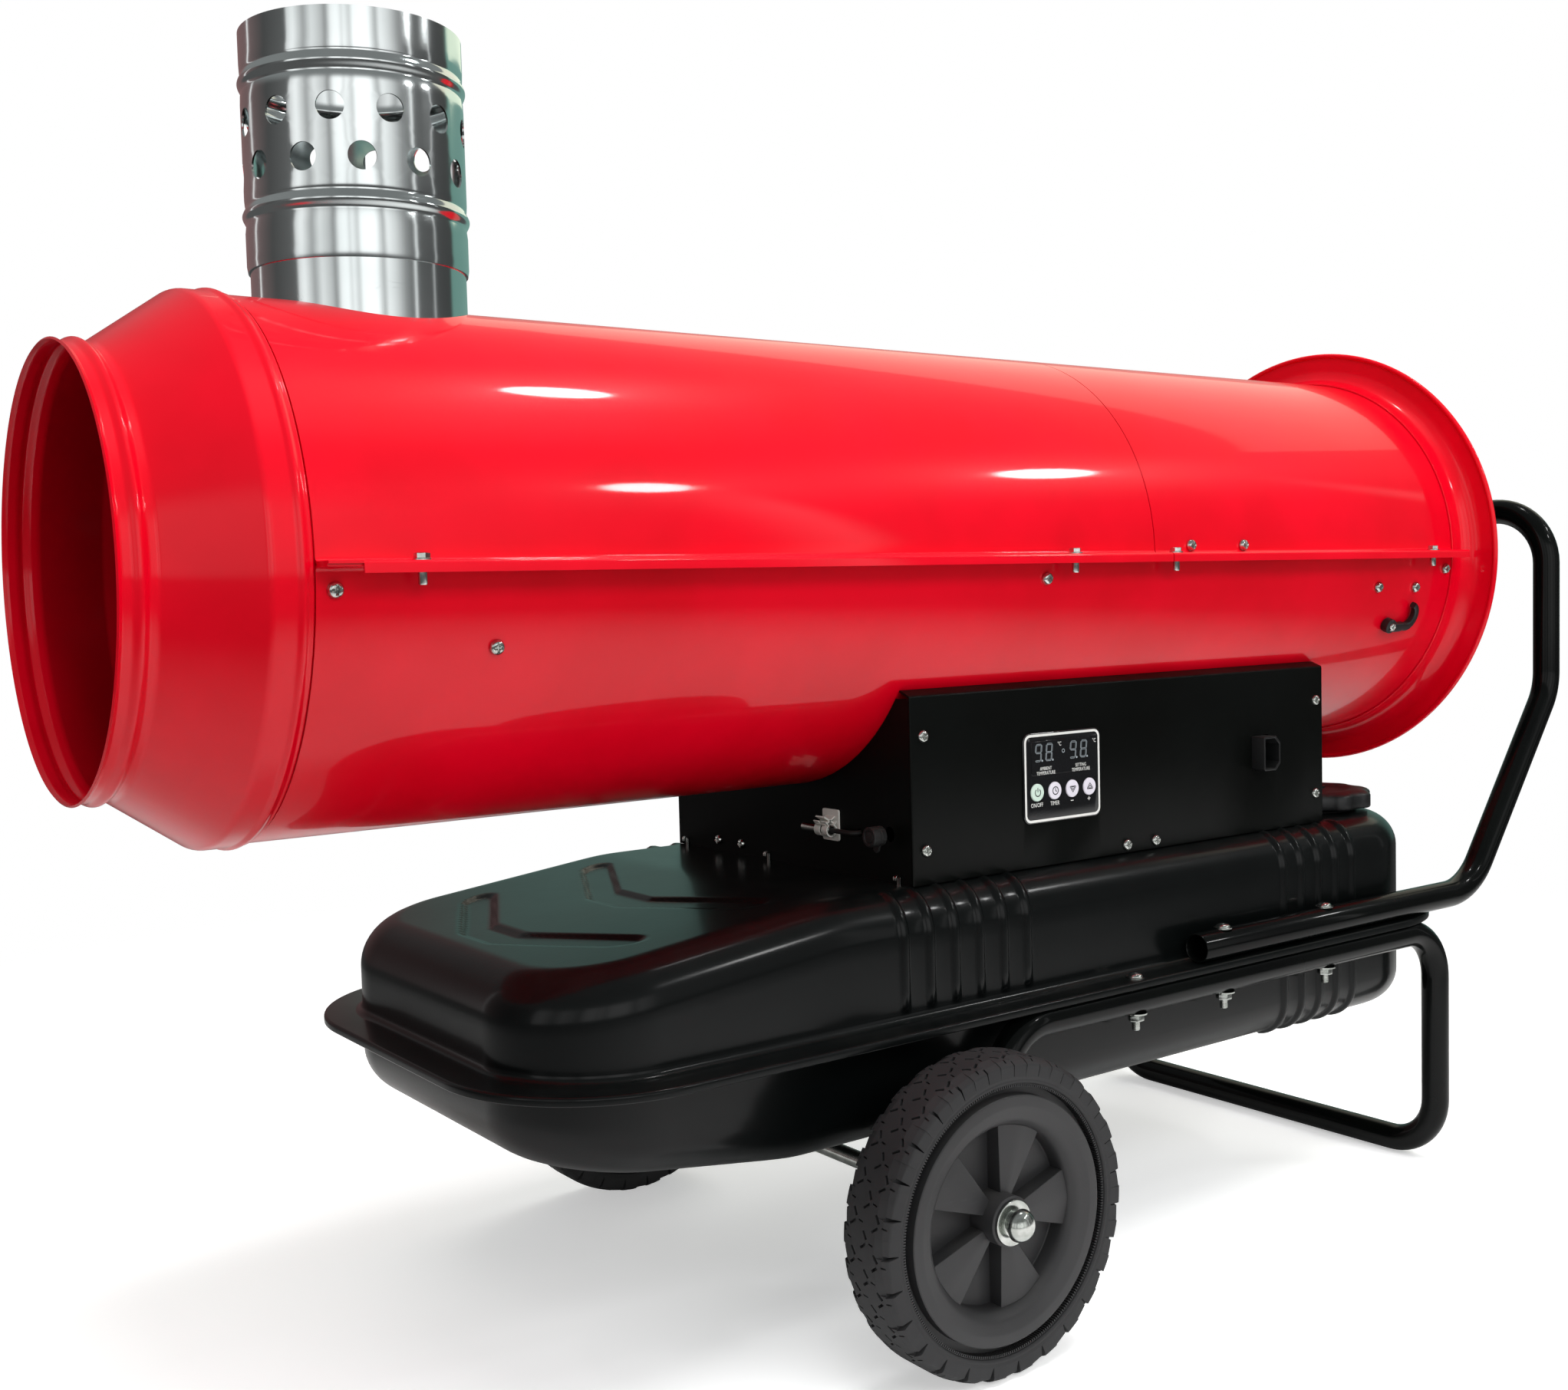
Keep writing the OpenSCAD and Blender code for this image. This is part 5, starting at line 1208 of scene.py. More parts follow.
    def build(self) -> None:
        """Builds the tank: both shells, with an opening under the neck, then what stands in and on it."""
        for sign, name, ribs, fade in ((1, "tank_upper", (self.front_ribs, self.rear_ribs), 62.0),
                                       (-1, "tank_lower", (self.rear_ribs,), 88.0)):
            shell = Piece(name + "_pressing", self._shell(sign, ribs, fade), TANK_BLACK, (name,), crease=48).build()
            if sign > 0:
                cut(shell, Shape().turned([[0, 233], [38.0, 233], [38.0, 310], [0, 310]]).moved(placed(*NECK)))
        self._neck().build()
        self._cap()
        dress("filler_strainer", BRASS)
        dress("cap_gasket", RUBBER, "cap_seal")
        dress("drain_plug", BRASS)


# The control box

def lettering(text: str, size: float, x: float, z: float, y: float, squeeze: float = 1.0) -> Shape:
    """A word as a thin slab on a face that looks towards -y.

    Args:
        text: the word.
        size: its size, in millimetres.
        x, z: the middle of its foot.
        y: the face.
        squeeze: the scale of its width.

    Returns:
        The word's shape.
    """
    font = bpy.data.curves.new("word", "FONT")
    font.body, font.size, font.align_x, font.extrude, font.resolution_u = text, size, "CENTER", 0.04, 3
    obj = bpy.data.objects.new("word", font)
    mesh = obj.to_mesh()
    p = np.empty(len(mesh.vertices) * 3)
    mesh.vertices.foreach_get("co", p)
    p = p.reshape(-1, 3) * [squeeze, 1, 1]
    out = Shape().take(np.column_stack([x + p[:, 0], y - p[:, 2], z + p[:, 1]]),
                       [np.array([list(f.vertices)]) for f in mesh.polygons])
    obj.to_mesh_clear()
    bpy.data.objects.remove(obj)
    bpy.data.curves.remove(font)
    return out


@dataclass
class ControlBox:
    """The sheet box under the barrel, with its near panel, inlet and screws."""

    x1: float = 451.0
    top: float = 424.0
    fold_rise: float = 4.0
    sheet: float = 1.5
    saddle: float = 159.3
    inlet: Pair = (372.0, 359.5)
    side_screws: tuple[Pair, ...] = (
        (22.0, 397.0), (23.0, 320.0), (442.0, 397.0), (441.0, 321.0), (218.0, 303.0), (249.0, 303.0))
    front_screws: tuple[Pair, ...] = ((87.0, 305.5), (56.0, 305.5))
    tabs: tuple[float, ...] = (-130.0, 20.0, 131.0)

    def _panel(self) -> None:
        """The near panel: an upright sheet that folds in at the top and rises on its way to the barrel."""
        high = self.top + self.fold_rise
        y = -math.sqrt(self.saddle ** 2 - (BARREL_Z - high) ** 2)
        line = rounded([[y, high], [BOX_NEAR, self.top], [BOX_NEAR, TANK_TOP]], [0, 2.2, 0], 6)
        x0, x1 = BOX_FRONT, self.x1
        x = np.array([x0, x0 + 1.5, *np.linspace(x0 + 20, x1 - 20, 11), x1 - 1.5, x1])
        obj = Piece("control_box_near_panel", Shape().grid(drawn(x, line)[::-1]), BLACK, ("side_panel",),
                    wall=self.sheet, bevel=0.35, crease=50).build()
        hole = Shape()
        for (cx, cz), w, h in ((PANEL, 69.6, 56.6), (self.inlet, 20.6, 27.6)):
            hole.plus(Shape().slab(rounded_box(w, h, 1), 0, 20).moved(placed(cx, BOX_NEAR + 10, cz, NEAR)))
        cut(obj, hole)

    def _tabs(self) -> Piece:
        """Small hooked tabs of the tank's bracket that show at the foot of the front."""
        s = Shape()
        x = BOX_FRONT - 1.0
        for y in self.tabs:
            path = rounded([[x, y, TANK_TOP - 1.0], [x, y, TANK_TOP + 6.5], [x - 3.6, y, TANK_TOP + 6.5],
                            [x - 3.6, y, TANK_TOP + 3.6]], [0, 1.7, 1.7, 0], 5)
            s.loft(carried(path, rounded_box(3.2, 0.9, 0.3, 2), (1.0, 0.0, 0.3)))
        return Piece("box_foot_tabs", s, ZINC)

    def _inlet(self) -> list[Piece]:
        """The mains inlet: a chamfered shroud with a deep recess, and three pins with rounded tips."""
        x, z = self.inlet
        rings = []
        for grow, y in ((0, 14), (0, -11.3), (-0.25, -11.8), (-0.7, -12), (-1.3, -12), (-1.65, -11.8),
                        (-1.8, -11.3), (-1.8, 10)):
            w, h, c = 10.0 + grow, 13.5 + grow, 5.0
            line = rounded([[-w, -h], [w - c, -h], [w, c - h], [w, h - c], [w - c, h], [-w, h]],
                           max(0.5, 1.8 + grow), 4, closed=True)
            rings.append(facing(line, x, BOX_NEAR + y, z))
        pins = Shape()
        for dx, dz in ((4, 0), (-3, 7), (-3, -7)):
            blade = Shape().slab(rounded_box(4, 2, 0.5), 0, 8.8).slab(rounded_box(3, 1.2, 0.4), 8.8, 10)
            pins.plus(blade.moved(placed(x + dx, BOX_NEAR + 10.5, z + dz, NEAR)))
        return [Piece("mains_inlet_shroud", Shape().loft(rings), PLASTIC, ("power_inlet",), crease=30),
                Piece("mains_inlet_pins", pins, ZINC)]

    def _screws(self) -> Piece:
        """The panel's cross-recess screws."""
        s = Screw(8.6, 2.1).shape().moved(*[placed(x, BOX_NEAR, z, NEAR) for x, z in self.side_screws])
        small = Screw(7.4, 2.0).shape()
        s.plus(small.moved(*[placed(BOX_FRONT, y, z, FRONT, (0, 1, 0)) for y, z in self.front_screws]))
        return Piece("panel_screw_heads", s, ZINC, ("panel_screws",), crease=60)

    def build(self) -> None:
        """Builds the box."""
        dress("control_box", BLACK, round_by=0.5)
        self._panel()
        for piece in (self._tabs(), *self._inlet(), self._screws()):
            piece.build()


@dataclass
class Display:
    """The display panel with its window, digits, labels and four keys."""

    w: float = 77.0
    h: float = 64.0
    face: float = -144.7
    glass: float = -144.9
    window_up: float = 14.0
    key_face: float = -145.6
    key_r: float = 6.2
    key_z: float = 350.0
    keys: tuple[tuple[str, float], ...] = (("power", 125.7), ("timer", 143.1), ("down", 160.5), ("up", 177.9))
    digit: tuple[float, float, float] = (5.4, 11.4, 1.1)
    digits: tuple[float, ...] = (127.5, 137.95, 161.9, 172.5)
    words: tuple[tuple[str, float, float, float, bool, float], ...] = (
        ("AMBIENT", 3.5, 134.6, 365.3, True, 0.8), ("TEMPERATURE", 3.5, 134.6, 362.1, True, 0.8),
        ("SETTING", 3.5, 169.5, 365.3, True, 0.8), ("TEMPERATURE", 3.5, 169.5, 362.1, True, 0.8),
        ("ON/OFF", 4.2, 125.6, 339.7, False, 0.78), ("TIMER", 4.2, 143.2, 339.7, False, 0.78),
        ("−", 6.0, 160.4, 339.3, False, 1.0), ("+", 6.0, 177.6, 339.3, False, 1.0),
        ("°C", 4.0, 148.4, 381.6, True, 0.85), ("°C", 4.0, 183.5, 381.6, True, 0.85))

    def _panel(self) -> None:
        """The panel with a rounded rim, and holes for the keys and the window."""
        rings = []
        for grow, y in ((-4.0, 8.5), (-4.0, 0.0), (0.0, 0.0), (0.0, -0.7), (-0.25, -1.05), (-0.7, -1.2)):
            line = rounded_box(self.w + 2 * grow, self.h + 2 * grow, max(1.0, 6.0 + grow))
            rings.append(facing(line, PANEL[0], BOX_NEAR + y, PANEL[1]))
        obj = Piece("display_face", Shape().loft(rings), GLASS, ("display_panel",), crease=25).build()
        r = self.key_r + 0.25
        hole = Shape().turned([[0, -20], [r, -20], [r, 5], [0, 5]], 48)
        tool = hole.moved(*[placed(x, self.face, self.key_z, NEAR) for _, x in self.keys])
        tool.plus(Shape().slab(rounded_box(62.4, 24.4, 1.5), -1.9, 2).moved(
            placed(PANEL[0], self.face, PANEL[1] + self.window_up, NEAR)))
        cut(obj, tool)

    def _border(self) -> Piece:
        """The printed white line near the panel's edge."""
        inner, outer = (rounded_box(self.w - d, self.h - d, r) for d, r in ((5.4, 4.0), (2.0, 5.4)))
        s = Shape().grid(outlined(inner, outer, 0.06), "uv")
        return Piece("display_border_line", s.moved(placed(PANEL[0], self.face, PANEL[1], NEAR)), PRINT)

    def _digit(self, lit: str) -> Shape:
        """One slanted digit made of six-sided bars, each drawn as a narrow outline, and its point.

        Segment letters run a to g as usual; x shifts by 0.1 z for the slant.
        """
        w, h, t = self.digit
        spots = {"a": (0, h / 2, 1), "b": (w / 2, h / 4, 0), "c": (w / 2, -h / 4, 0), "d": (0, -h / 2, 1),
                 "e": (-w / 2, -h / 4, 0), "f": (-w / 2, h / 4, 0), "g": (0, 0, 1)}
        s = Shape()
        for key in lit:
            cx, cz, flat = spots[key]
            rings = []
            for shrink in (0.0, 0.24):
                n, k = (w if flat else h / 2) / 2 - 0.25 - shrink, t / 2 - shrink
                bar = np.array([[-n, 0], [-n + k, -k], [n - k, -k], [n, 0], [n - k, k], [-n + k, k]])
                rings.append((bar if flat else bar[:, ::-1] * [1, -1]) + [cx, cz])
            s.grid(outlined(*rings), "uv")
        s.slab(circle(0.7, 12) + [w / 2 + 1.5, -h / 2], 0, 0.05)
        lean = np.eye(4)
        lean[0, 1] = 0.1
        return s.moved(lean)

    def _digits(self) -> Piece:
        """The four digits behind the window's face, and a small lamp between the pairs."""
        s = Shape()
        for x, lit in zip(self.digits, ("abcdfg", "abcdefg") * 2):
            s.plus(self._digit(lit).moved(placed(x, self.glass, 377.8, NEAR)))
        lamp = Shape().grid(outlined(circle(1.4, 20), circle(1.05, 20)), "uv")
        return Piece("display_digits", s.plus(lamp.moved(placed(152.1, self.glass, 377.7, NEAR))), DIGIT)

    def _labels(self) -> Piece:
        """The plain labels under the digits and the keys."""
        s = Shape()
        for word, size, x, z, inside, squeeze in self.words:
            s.plus(lettering(word, size, x, z, self.glass if inside else self.face, squeeze))
        return Piece("display_labels", s, PRINT, crease=30)

    @staticmethod
    def _stroke(line: Array, w: float = 0.75, closed: bool = False) -> Shape:
        """A thin raised line.

        Args:
            line: its points.
            w: its width.
            closed: whether its ends join.

        Returns:
            The line's shape.
        """
        around = np.concatenate([line[-1:], line, line[:1]]) if closed else line
        n = -rightward(around)[1:-1] * w / 2 if closed else -rightward(around) * w / 2
        p = outlined(line + n, line - n).swapaxes(0, 1)
        return Shape().grid(p, "uv") if closed else Shape().loft(p)

    def _icon(self, name: str) -> Shape:
        """The line drawing on a key, in its own plane: a power sign, a clock, or two arrowheads."""
        if name == "power":
            arc = polar(2.6, np.radians(np.linspace(125, 415, 30)))
            return self._stroke(arc).plus(self._stroke(np.array([[0, 0.4], [0, 3.4]])))
        if name == "timer":
            hands = self._stroke(np.array([[0, 1.8], [0, 0], [1.3, -0.8]]))
            return self._stroke(circle(2.7, 30), closed=True).plus(hands)
        s, up = Shape(), 1 if name == "up" else -1
        for k, lift in ((1.0, 0.0), (0.55, 0.35)):
            tri = np.array([[-3.1, -1.6], [3.1, -1.6], [0, 2.6]]) * k * [1, up] + [0, -lift * up]
            s.plus(self._stroke(rounded(tri, 0.35, 3, closed=True), 0.6, closed=True))
        return s

    def _keys(self) -> list[Piece]:
        """Four round keys, each a crowned disc on a stem, with its line drawing riding on it."""
        r = self.key_r
        cap = [[0, 0.02], [r * 0.6, 0.0], [r - 0.8, -0.04],
               *(polar(0.6, np.linspace(math.pi / 2, 0, 6)) + [r - 0.6, -0.65]),
               [r, -5.9], [2.0, -5.9], [2.0, -9.6], [0, -9.6]]
        out = []
        for name, x in self.keys:
            # The key faces glow as painted light.
            finish = MINT_PAINTED_GLOW if name == "power" else LILAC_PAINTED_GLOW
            button, sign = (placed(x, self.key_face + d, self.key_z, NEAR) for d in (0.03, 0.04))
            out += [Piece(name + "_key_button", Shape().turned(cap, 48).moved(button), finish, ("key_" + name,),
                          name + "_key", crease=30),
                    Piece(name + "_key_sign", self._icon(name).moved(sign), DARK_PRINT, body=name + "_key")]
        return out

    def build(self) -> None:
        """Builds the display."""
        self._panel()
        window = Shape().slab(rounded_box(62, 24, 1.5), 0, 2.1).moved(
            placed(PANEL[0], self.glass + 2.1, PANEL[1] + self.window_up, NEAR))
        pane = Piece("display_window_pane", window, GLASS, ("display_window",), bevel=0.15, slot=Slot.WINDOW)
        for piece in (pane, self._border(), self._digits(), self._labels(), *self._keys()):
            piece.build()


@dataclass
class Probe:
    """The temperature probe in its clip on the box's front, its lead, and a capped socket."""

    x: float = 5.0
    z: float = 328.0
    r: float = 3.2
    jaw_r: float = 3.75
    crimps: Pair = (4.0, 7.5)
    lead_r: float = 1.8
    lead_y: float = -88.0
    socket: Pair = (-120.0, 330.0)
    cap_r: float = 6.8

    def _clip(self) -> Piece:
        """The clip: a base plate, a jaw round the probe with two flared lips, and crossed arms above it."""
        s = Shape().slab(rounded_box(18, 22, 1.5), 0, 1.5).moved(placed(BOX_FRONT, -57, 331, FRONT, NEAR))
        arc = polar(self.jaw_r, np.radians(np.linspace(120, 420, 26)))
        jaw = sheet_loop(np.concatenate([[[-4.4, 6.6]], arc, [[4.6, 6.4]]]), 1.0)
        arms = [sheet_loop(rounded([[-4.5, low], [0.5, 7.1], [5.2, high]], [0, 6, 0], 4), 1.1)
                for low, high in ((4.2, 10.0), (10.0, 4.2))]
        for loop, *span in ((jaw, -64, -58), (jaw, -55.5, -49.5), (arms[0], -62, -52), (arms[1], -62, -52)):
            s.loft([facing(loop, self.x, y, self.z) for y in span])
        s.plus(Shape().slab(rounded_box(4.5, 13, 0.6), 1.2, 3.4).moved(placed(BOX_FRONT, -56, self.z, FRONT, UP)))
        return Piece("probe_clip_moulding", s, WHITE, ("probe_clip",), bevel=0.25, crease=35)

    def _probe(self) -> Piece:
        """The probe: a tube with two crimped rings at its lead end and a domed tip."""
        t = np.linspace(0, 34, 120)
        r = self.r - sum(0.45 * np.exp(-((t - crimp) / 0.7) ** 2) for crimp in self.crimps)
        r = np.minimum(r, self.r * np.sqrt(np.clip(1 - ((t - 31) / 3.0).clip(0) ** 2, 0, 1)))
        r[0] = 2.9
        line = np.concatenate([[[0, 0]], np.column_stack([r, t])])
        s = Shape().turned(line, 40).moved(placed(self.x, -64, self.z, (0, 1, 0)))
        return Piece("probe_tube", s, ZINC, ("probe",))

    def _lead(self) -> Piece:
        """The lead from the probe's end, round a bend and into the box."""
        path = rounded([[self.x, -63, self.z], [self.x, self.lead_y, self.z], [31, self.lead_y, self.z]], [0, 6, 0], 12)
        r = self.lead_r
        bush = Shape().turned([[r, 0], [2.7, 0], [3.3, 0.5], [3.3, 1.1], [2.4, 1.6], [r, 1.7]], 28, "uv")
        s = Shape().tube(path, r, UP, 20).plus(bush.moved(placed(BOX_FRONT, self.lead_y, self.z, FRONT)))
        return Piece("probe_lead_cable", s, RUBBER, ("probe_lead",))

    def _cap(self) -> list[Piece]:
        """The socket's collar, and its rubber cap with a round recess in the face and a pull tab."""
        y, z = self.socket
        r = self.cap_r
        skin = [[0, 7.0], [4.6, 7.0], [4.6, 0], [r - 0.4, 0], [r, 0.4], [r, 4.0], [r - 0.35, 4.4], [r, 4.8], [r, 10.2],
                *(polar(0.8, np.linspace(0, math.pi / 2, 6)[1:]) + [r - 0.8, 10.2]),
                [4.9, 11.0], [4.6, 10.7], [4.4, 10.1], [4.1, 10.1], [3.8, 10.6], [3.5, 10.7], [0, 10.7]]
        cap = Shape().turned(skin, 56).slab(rounded_box(9.5, 5.4, 2.2) + [7.4, 0], 0.5, 2.3)
        nut = Shape().turned([[3.0, -1], [8.2, -1], [8.2, 1.6], [7.7, 2.0], [6.6, 2.0], [6.6, 6.4], [6.2, 6.9],
                              [4.4, 6.9], [4.4, 12.6], [3.0, 12.6]], 64, "uv")
        return [Piece("dust_cap_rubber", cap.moved(placed(3.7, y, z, FRONT, (0, 0.35, -1))), RUBBER, ("socket_cap",),
                      "dust_cap", bevel=0.15),
                Piece("socket_collar", nut.moved(placed(BOX_FRONT, y, z, FRONT)), ZINC, ("probe_socket",))]

    def build(self) -> None:
        """Builds the probe and its neighbours."""
        for piece in (self._clip(), self._probe(), self._lead(), *self._cap()):
            piece.build()


# The cart: tubes, wheels and fasteners

@dataclass
class Tubes:
    """The bent stand and the bent handle, both of one tube size."""

    r: float = 11.0
    rail: float = 178.0
    rail_top: float = 211.1
    bolts: tuple[Pair, ...] = ((187.0, 214.5), (283.0, 236.8), (405.0, 236.8))
    open_end: float = 60.0
    across: tuple[float, float, float] = (0.7, 0.7, 0.0)

    def _path(self, start: list[float], half: list[list[float]], radii: list[float]) -> Array:
        """A bent line that runs from its start to the middle plane, and back on the far side.

        Points are (x, z); all lie on the near rail but the last, which lies in the middle plane.

        Args:
            start: the first point.
            half: the corners after it.
            radii: the bend at each point.

        Returns:
            The line.
        """
        near = [[x, -self.rail, z] for x, z in [start, *half[:-1]]] + [[half[-1][0], 0, half[-1][1]]]
        corners = near + [[x, -y, z] for x, y, z in near[-2::-1]]
        path = rounded(corners, radii + radii[-2::-1], 14)
        return path[np.concatenate([[True], np.linalg.norm(np.diff(path, axis=0), axis=1) > 0.01])]

    def _stand(self) -> Piece:
        """The stand: floor bar, legs, rails under the flange, and slopes down to the axle, cut square."""
        path = self._path([-9, 89.5], [[74.03, 200.2], [555, 200.2], [555, 11], [555, 11]], [0, 42, 42, 42, 0])
        s = Shape().loft(carried(path, circle(self.r, 36), self.across))
        return Piece("stand_tube", s, TUBE_BLACK, ("stand_frame",), bevel=0.8, crease=50)

    def _handle(self) -> Piece:
        """The handle: grip bar, uprights, slopes and runs along the tank's flange, with open front ends.

        Each open end rolls over a lip 1.5 mm thick and runs 60 mm back inside the tube.
        """
        path = self._path([253, 225.8], [[603.5, 225.8], [728, 391.8], [728, 552], [728, 552]], [0, 60, 48, 48, 0])
        body = carried(path, circle(self.r, 36), self.across)

        def end(ring: Array, mid: Array) -> list[Array]:
            """Rings of an open end: from 60 mm deep in the bore out to the lip, and over its rounded edge."""
            deep = self.open_end
            rows = ((deep, 0.86), (deep / 2, 0.86), (0.4, 0.86), (0, 0.9), (0, 0.96), (0.7, 1.0))
            return [(ring - mid) * k + mid + [d, 0, 0] for d, k in rows]

        rings = [*end(body[0], path[0]), *body[1:-1], *end(body[-1], path[-1])[::-1]]
        return Piece("handle_tube", Shape().loft(rings), TUBE_BLACK, ("handle",), crease=50)

    def _bolts(self) -> Piece:
        """Bolts through rail, flange and handle: domed heads on washers above, hex nuts and thread ends below."""
        s = Shape()
        low = self.rail_top - 2 * self.r
        nut = rounded(circle(6.0, 6), 0.6, 3, closed=True)
        thread = [[2.95 - 0.3 * (k % 4 in (1, 2)), z] for k, z in enumerate(np.arange(low - 12, low - 5.6, 0.25))]
        for x, high in self.bolts:
            dome = polar(1.0, np.linspace(0, math.pi / 2, 8)) * [5.5, 2.9] + [0, high + 1.1]
            one = Shape().turned([[0, high], [6.8, high], [6.8, high + 1.0], [5.5, high + 1.1], *dome], 40)
            one.turned([[0, low - 12.4], [2.4, low - 12.4], *thread, [2.9, low - 5], [0, low - 5]], 24)
            one.loft([level(nut * c, low + d) for c, d in ((0.9, -5.5), (1.0, -4.9), (1.0, -1.0), (0.92, -0.4))])
            one.turned([[0, low - 0.4], [8.2, low - 0.4], [8.2, low + 0.6], [0, low + 0.6]], 40)
            s.plus(one.moved(placed(x, -self.rail), placed(x, self.rail)))
        return Piece("frame_bolt_sets", s, ZINC, ("frame_bolts",), crease=38)

    def build(self) -> None:
        """Builds the tubes and their bolts."""
        for piece in (self._stand(), self._handle(), self._bolts()):
            piece.build()


@dataclass
class Wheel:
    """One wheel: a tyre with star-shaped cuts and stepped shoulders, on a moulded rim with five wedge spokes."""

    side: int = -1
    r: float = 101.5
    width: float = 44.0
    outer: float = 243.0
    rim_r: float = 85.5
    blocks: int = 27
    per_block: int = 16
    ribs: int = 300
    dish: float = 57.5
    bore: float = 6.05
    groove_z: float = 40.4
    tread_from: Pair = (90.2, 91.2)
    shoulder: Pair = (12.6, 14.2)
    spokes: int = 5
    spoke_turn: float = 1.2566371
    spoke_z: Pair = (36.0, 8.0)

    @property
    def label(self) -> str:
        """The side's name."""
        return "left" if self.side < 0 else "right"

    def _place(self) -> Array:
        """Local z points outwards from the inner face; local x is the machine's x."""
        return placed(0, self.side * (self.outer - self.width), self.r, (0, self.side, 0))

    def _piece(self, name: str, shape: Shape, finish: Finish, replaces: tuple[str, ...] = (), bevel: float = 0.0,
               crease: float = 30.0) -> Object:
        """Builds a piece of the wheel from a shape in the wheel's own frame."""
        return Piece(name, shape.moved(self._place()), finish, replaces, "wheel_" + self.label, bevel=bevel,
                     crease=crease).build()

    def _both(self, half: Array) -> Array:
        """Half of a section, from the inner face to the middle, and its mirror image."""
        return np.concatenate([half, (half * [1, -1] + [0, self.width])[::-1][1:]])

    def _tyre(self) -> None:
        """The tyre: a section turned about the axle, stepped at the shoulders, with cuts in the tread.

        Round the wheel every shoulder block stands proud for half a pitch and then slopes away to 1.5 mm.
        The cuts are three-armed stars in four staggered columns, and a wedge beside each block.
        """
        m = self.width / 2
        sec = self._both(rounded(
            [[self.rim_r, 6], [self.rim_r, 2.0], [86.7, 0.8], [88.0, 1.2], [89.8, 0.7], [97.8, 0.2],
             [100.3, 4.6], [self.r, 10.5], [self.r, m]], [0, 0.8, 1.2, 0.8, 0.8, 2.2, 2.5, 6, 0], 4))
        normal = rightward(sec)
        normal *= np.sign(normal[len(sec) // 2, 0])
        share = np.sort(np.concatenate([np.arange(self.per_block) / self.per_block, [0.497, 0.997]]))
        a = (math.tau / self.blocks * (np.arange(self.blocks)[:, None] + share[None])).reshape(-1, 1)
        v = (sec[:, 1] - m)[None]
        zone = soft(*self.tread_from, sec[:, 0])[None] * soft(*self.shoulder, np.abs(v))
        turn = (np.tile(share, self.blocks)[:, None] + 0.5 * (v > 0)) % 1.0
        depth = zone * np.where(turn < 0.5, 0.0, 0.5 + 2.0 * np.abs(turn - 0.5))
        p = polar(sec[:, 0] - depth * normal[:, 0], a, sec[:, 1] - depth * normal[:, 1])
        shape = Shape().grid(p, "u").grid(np.stack([p[:, -1], p[:, 0]], axis=1), "u")
        obj = self._piece(f"tyre_{self.label}_tread", shape, TYRE, ("tyre_" + self.label,))
        for tool in (self._stars(), self._wedges()):
            cut(obj, tool.moved(self._place()), 25)

    def _stars(self) -> Shape:
        """The three-armed cuts of the tread, as thin closed prisms 2.2 mm deep."""
        star = Shape()
        for far, width in (([-6.2, -4.2], 2.0), ([4.6, -6.2], 1.8), ([0.8, 5.4], 1.1)):
            far = np.array(far)
            side = np.array([-far[1], far[0]]) / np.linalg.norm(far) * width / 2
            near = far * 0.24
            star.slab(np.array([near + side, near - side, far - side, far + side * 0.8]), -2.2, 1.2)
        spots = []
        for v0, shift, r in ((-15.0, 0.2, self.r - 0.35), (-5.2, 0.7, self.r), (5.2, 0.2, self.r),
                             (15.0, 0.7, self.r - 0.35)):
            for k in range(self.blocks):
                t = (k + shift) * math.tau / self.blocks
                c, s = math.cos(t), math.sin(t)
                spots.append(placed(r * c, r * s, self.width / 2 + v0, (c, s, 0), (-s, c, 0)))
        return star.moved(*spots)

    def _wedges(self) -> Shape:
        """The wedge cut beside every block of both shoulders."""
        wedge = Shape().slab(np.array([[90.4, -0.25], [103.0, -1.9], [103.0, 1.6], [90.4, 0.25]]), -4.0, 3.6)
        return wedge.moved(*[spun((k + shift) * math.tau / self.blocks, z, end) for end, shift, z in
                             ((-1, 0.54, 1.2), (1, 0.48, self.width - 1.2)) for k in range(self.blocks)])

    def _rim(self) -> Shape:
        """The rim: barrel, dished flanges and a deep groove near the tyre."""
        m, top = self.width / 2, self.rim_r - 0.05
        half = rounded([[14.0, m + 1.5], [self.dish, m + 1.5], [self.dish, 34.5], [62.5, 40.4], [71, 43.0],
                        [77.6, 43.0], [78.3, 42.4], [78.5, 35.0], [84.6, 35.0], [84.9, 41.6], [top, 41.0], [top, m]],
                       [0, 0.8, 9, 9, 6, 0.5, 0.3, 0.3, 0.2, 0.2, 0.1, 0], 5)
        return Shape().turned(self._both(half), 180, "uv")

    def _groove_ribs(self) -> Shape:
        """Fine ribs on the outer wall of both grooves."""
        rib = Shape().slab(np.array([[83.3, -0.4], [85.1, -0.45], [85.1, 0.45], [83.3, 0.4]]), -6.2, 0.8)
        return rib.moved(*[spun(k * math.tau / self.ribs, z, way) for k in range(self.ribs)
                           for z, way in ((self.groove_z, 1), (self.width - self.groove_z, -1))])

    def _spokes(self) -> Shape:
        """Hub, and five wedges whose outer faces fall gently from a ridge along their middle."""
        s = Shape()
        t = np.linspace(-math.pi / 10, math.pi / 10, 9)
        r = np.array([13.0, 30.0, 45.0, self.dish + 0.8])[:, None]
        for k in range(self.spokes):
            for z, sign in zip(self.spoke_z, (1, -1)):
                top = polar(r, t, z - sign * (0.6 + 1.6 * np.abs(t) / t[-1] * (r / 58)))
                foot = top * [1, 1, 0] + [0, 0, 22.0]
                ring = [np.concatenate([g[0], g[1:-1, -1], g[-1][::-1], g[1:-1, 0][::-1]]) for g in (top, foot)]
                wedge = Shape().grid(top).grid(np.stack(ring), "v").fill(ring[1])
                s.plus(wedge.moved(spun(k * self.spoke_turn)))
        hub = [[self.bore, -0.3], [15.2, -0.3], [16.0, 0.6], [16.0, 44.0], [15.0, 45.0], [self.bore, 45.0]]
        return s.turned(rounded(hub, [0, 0.4, 0.6, 0.8, 0.6, 0], 4), 72, "uv")

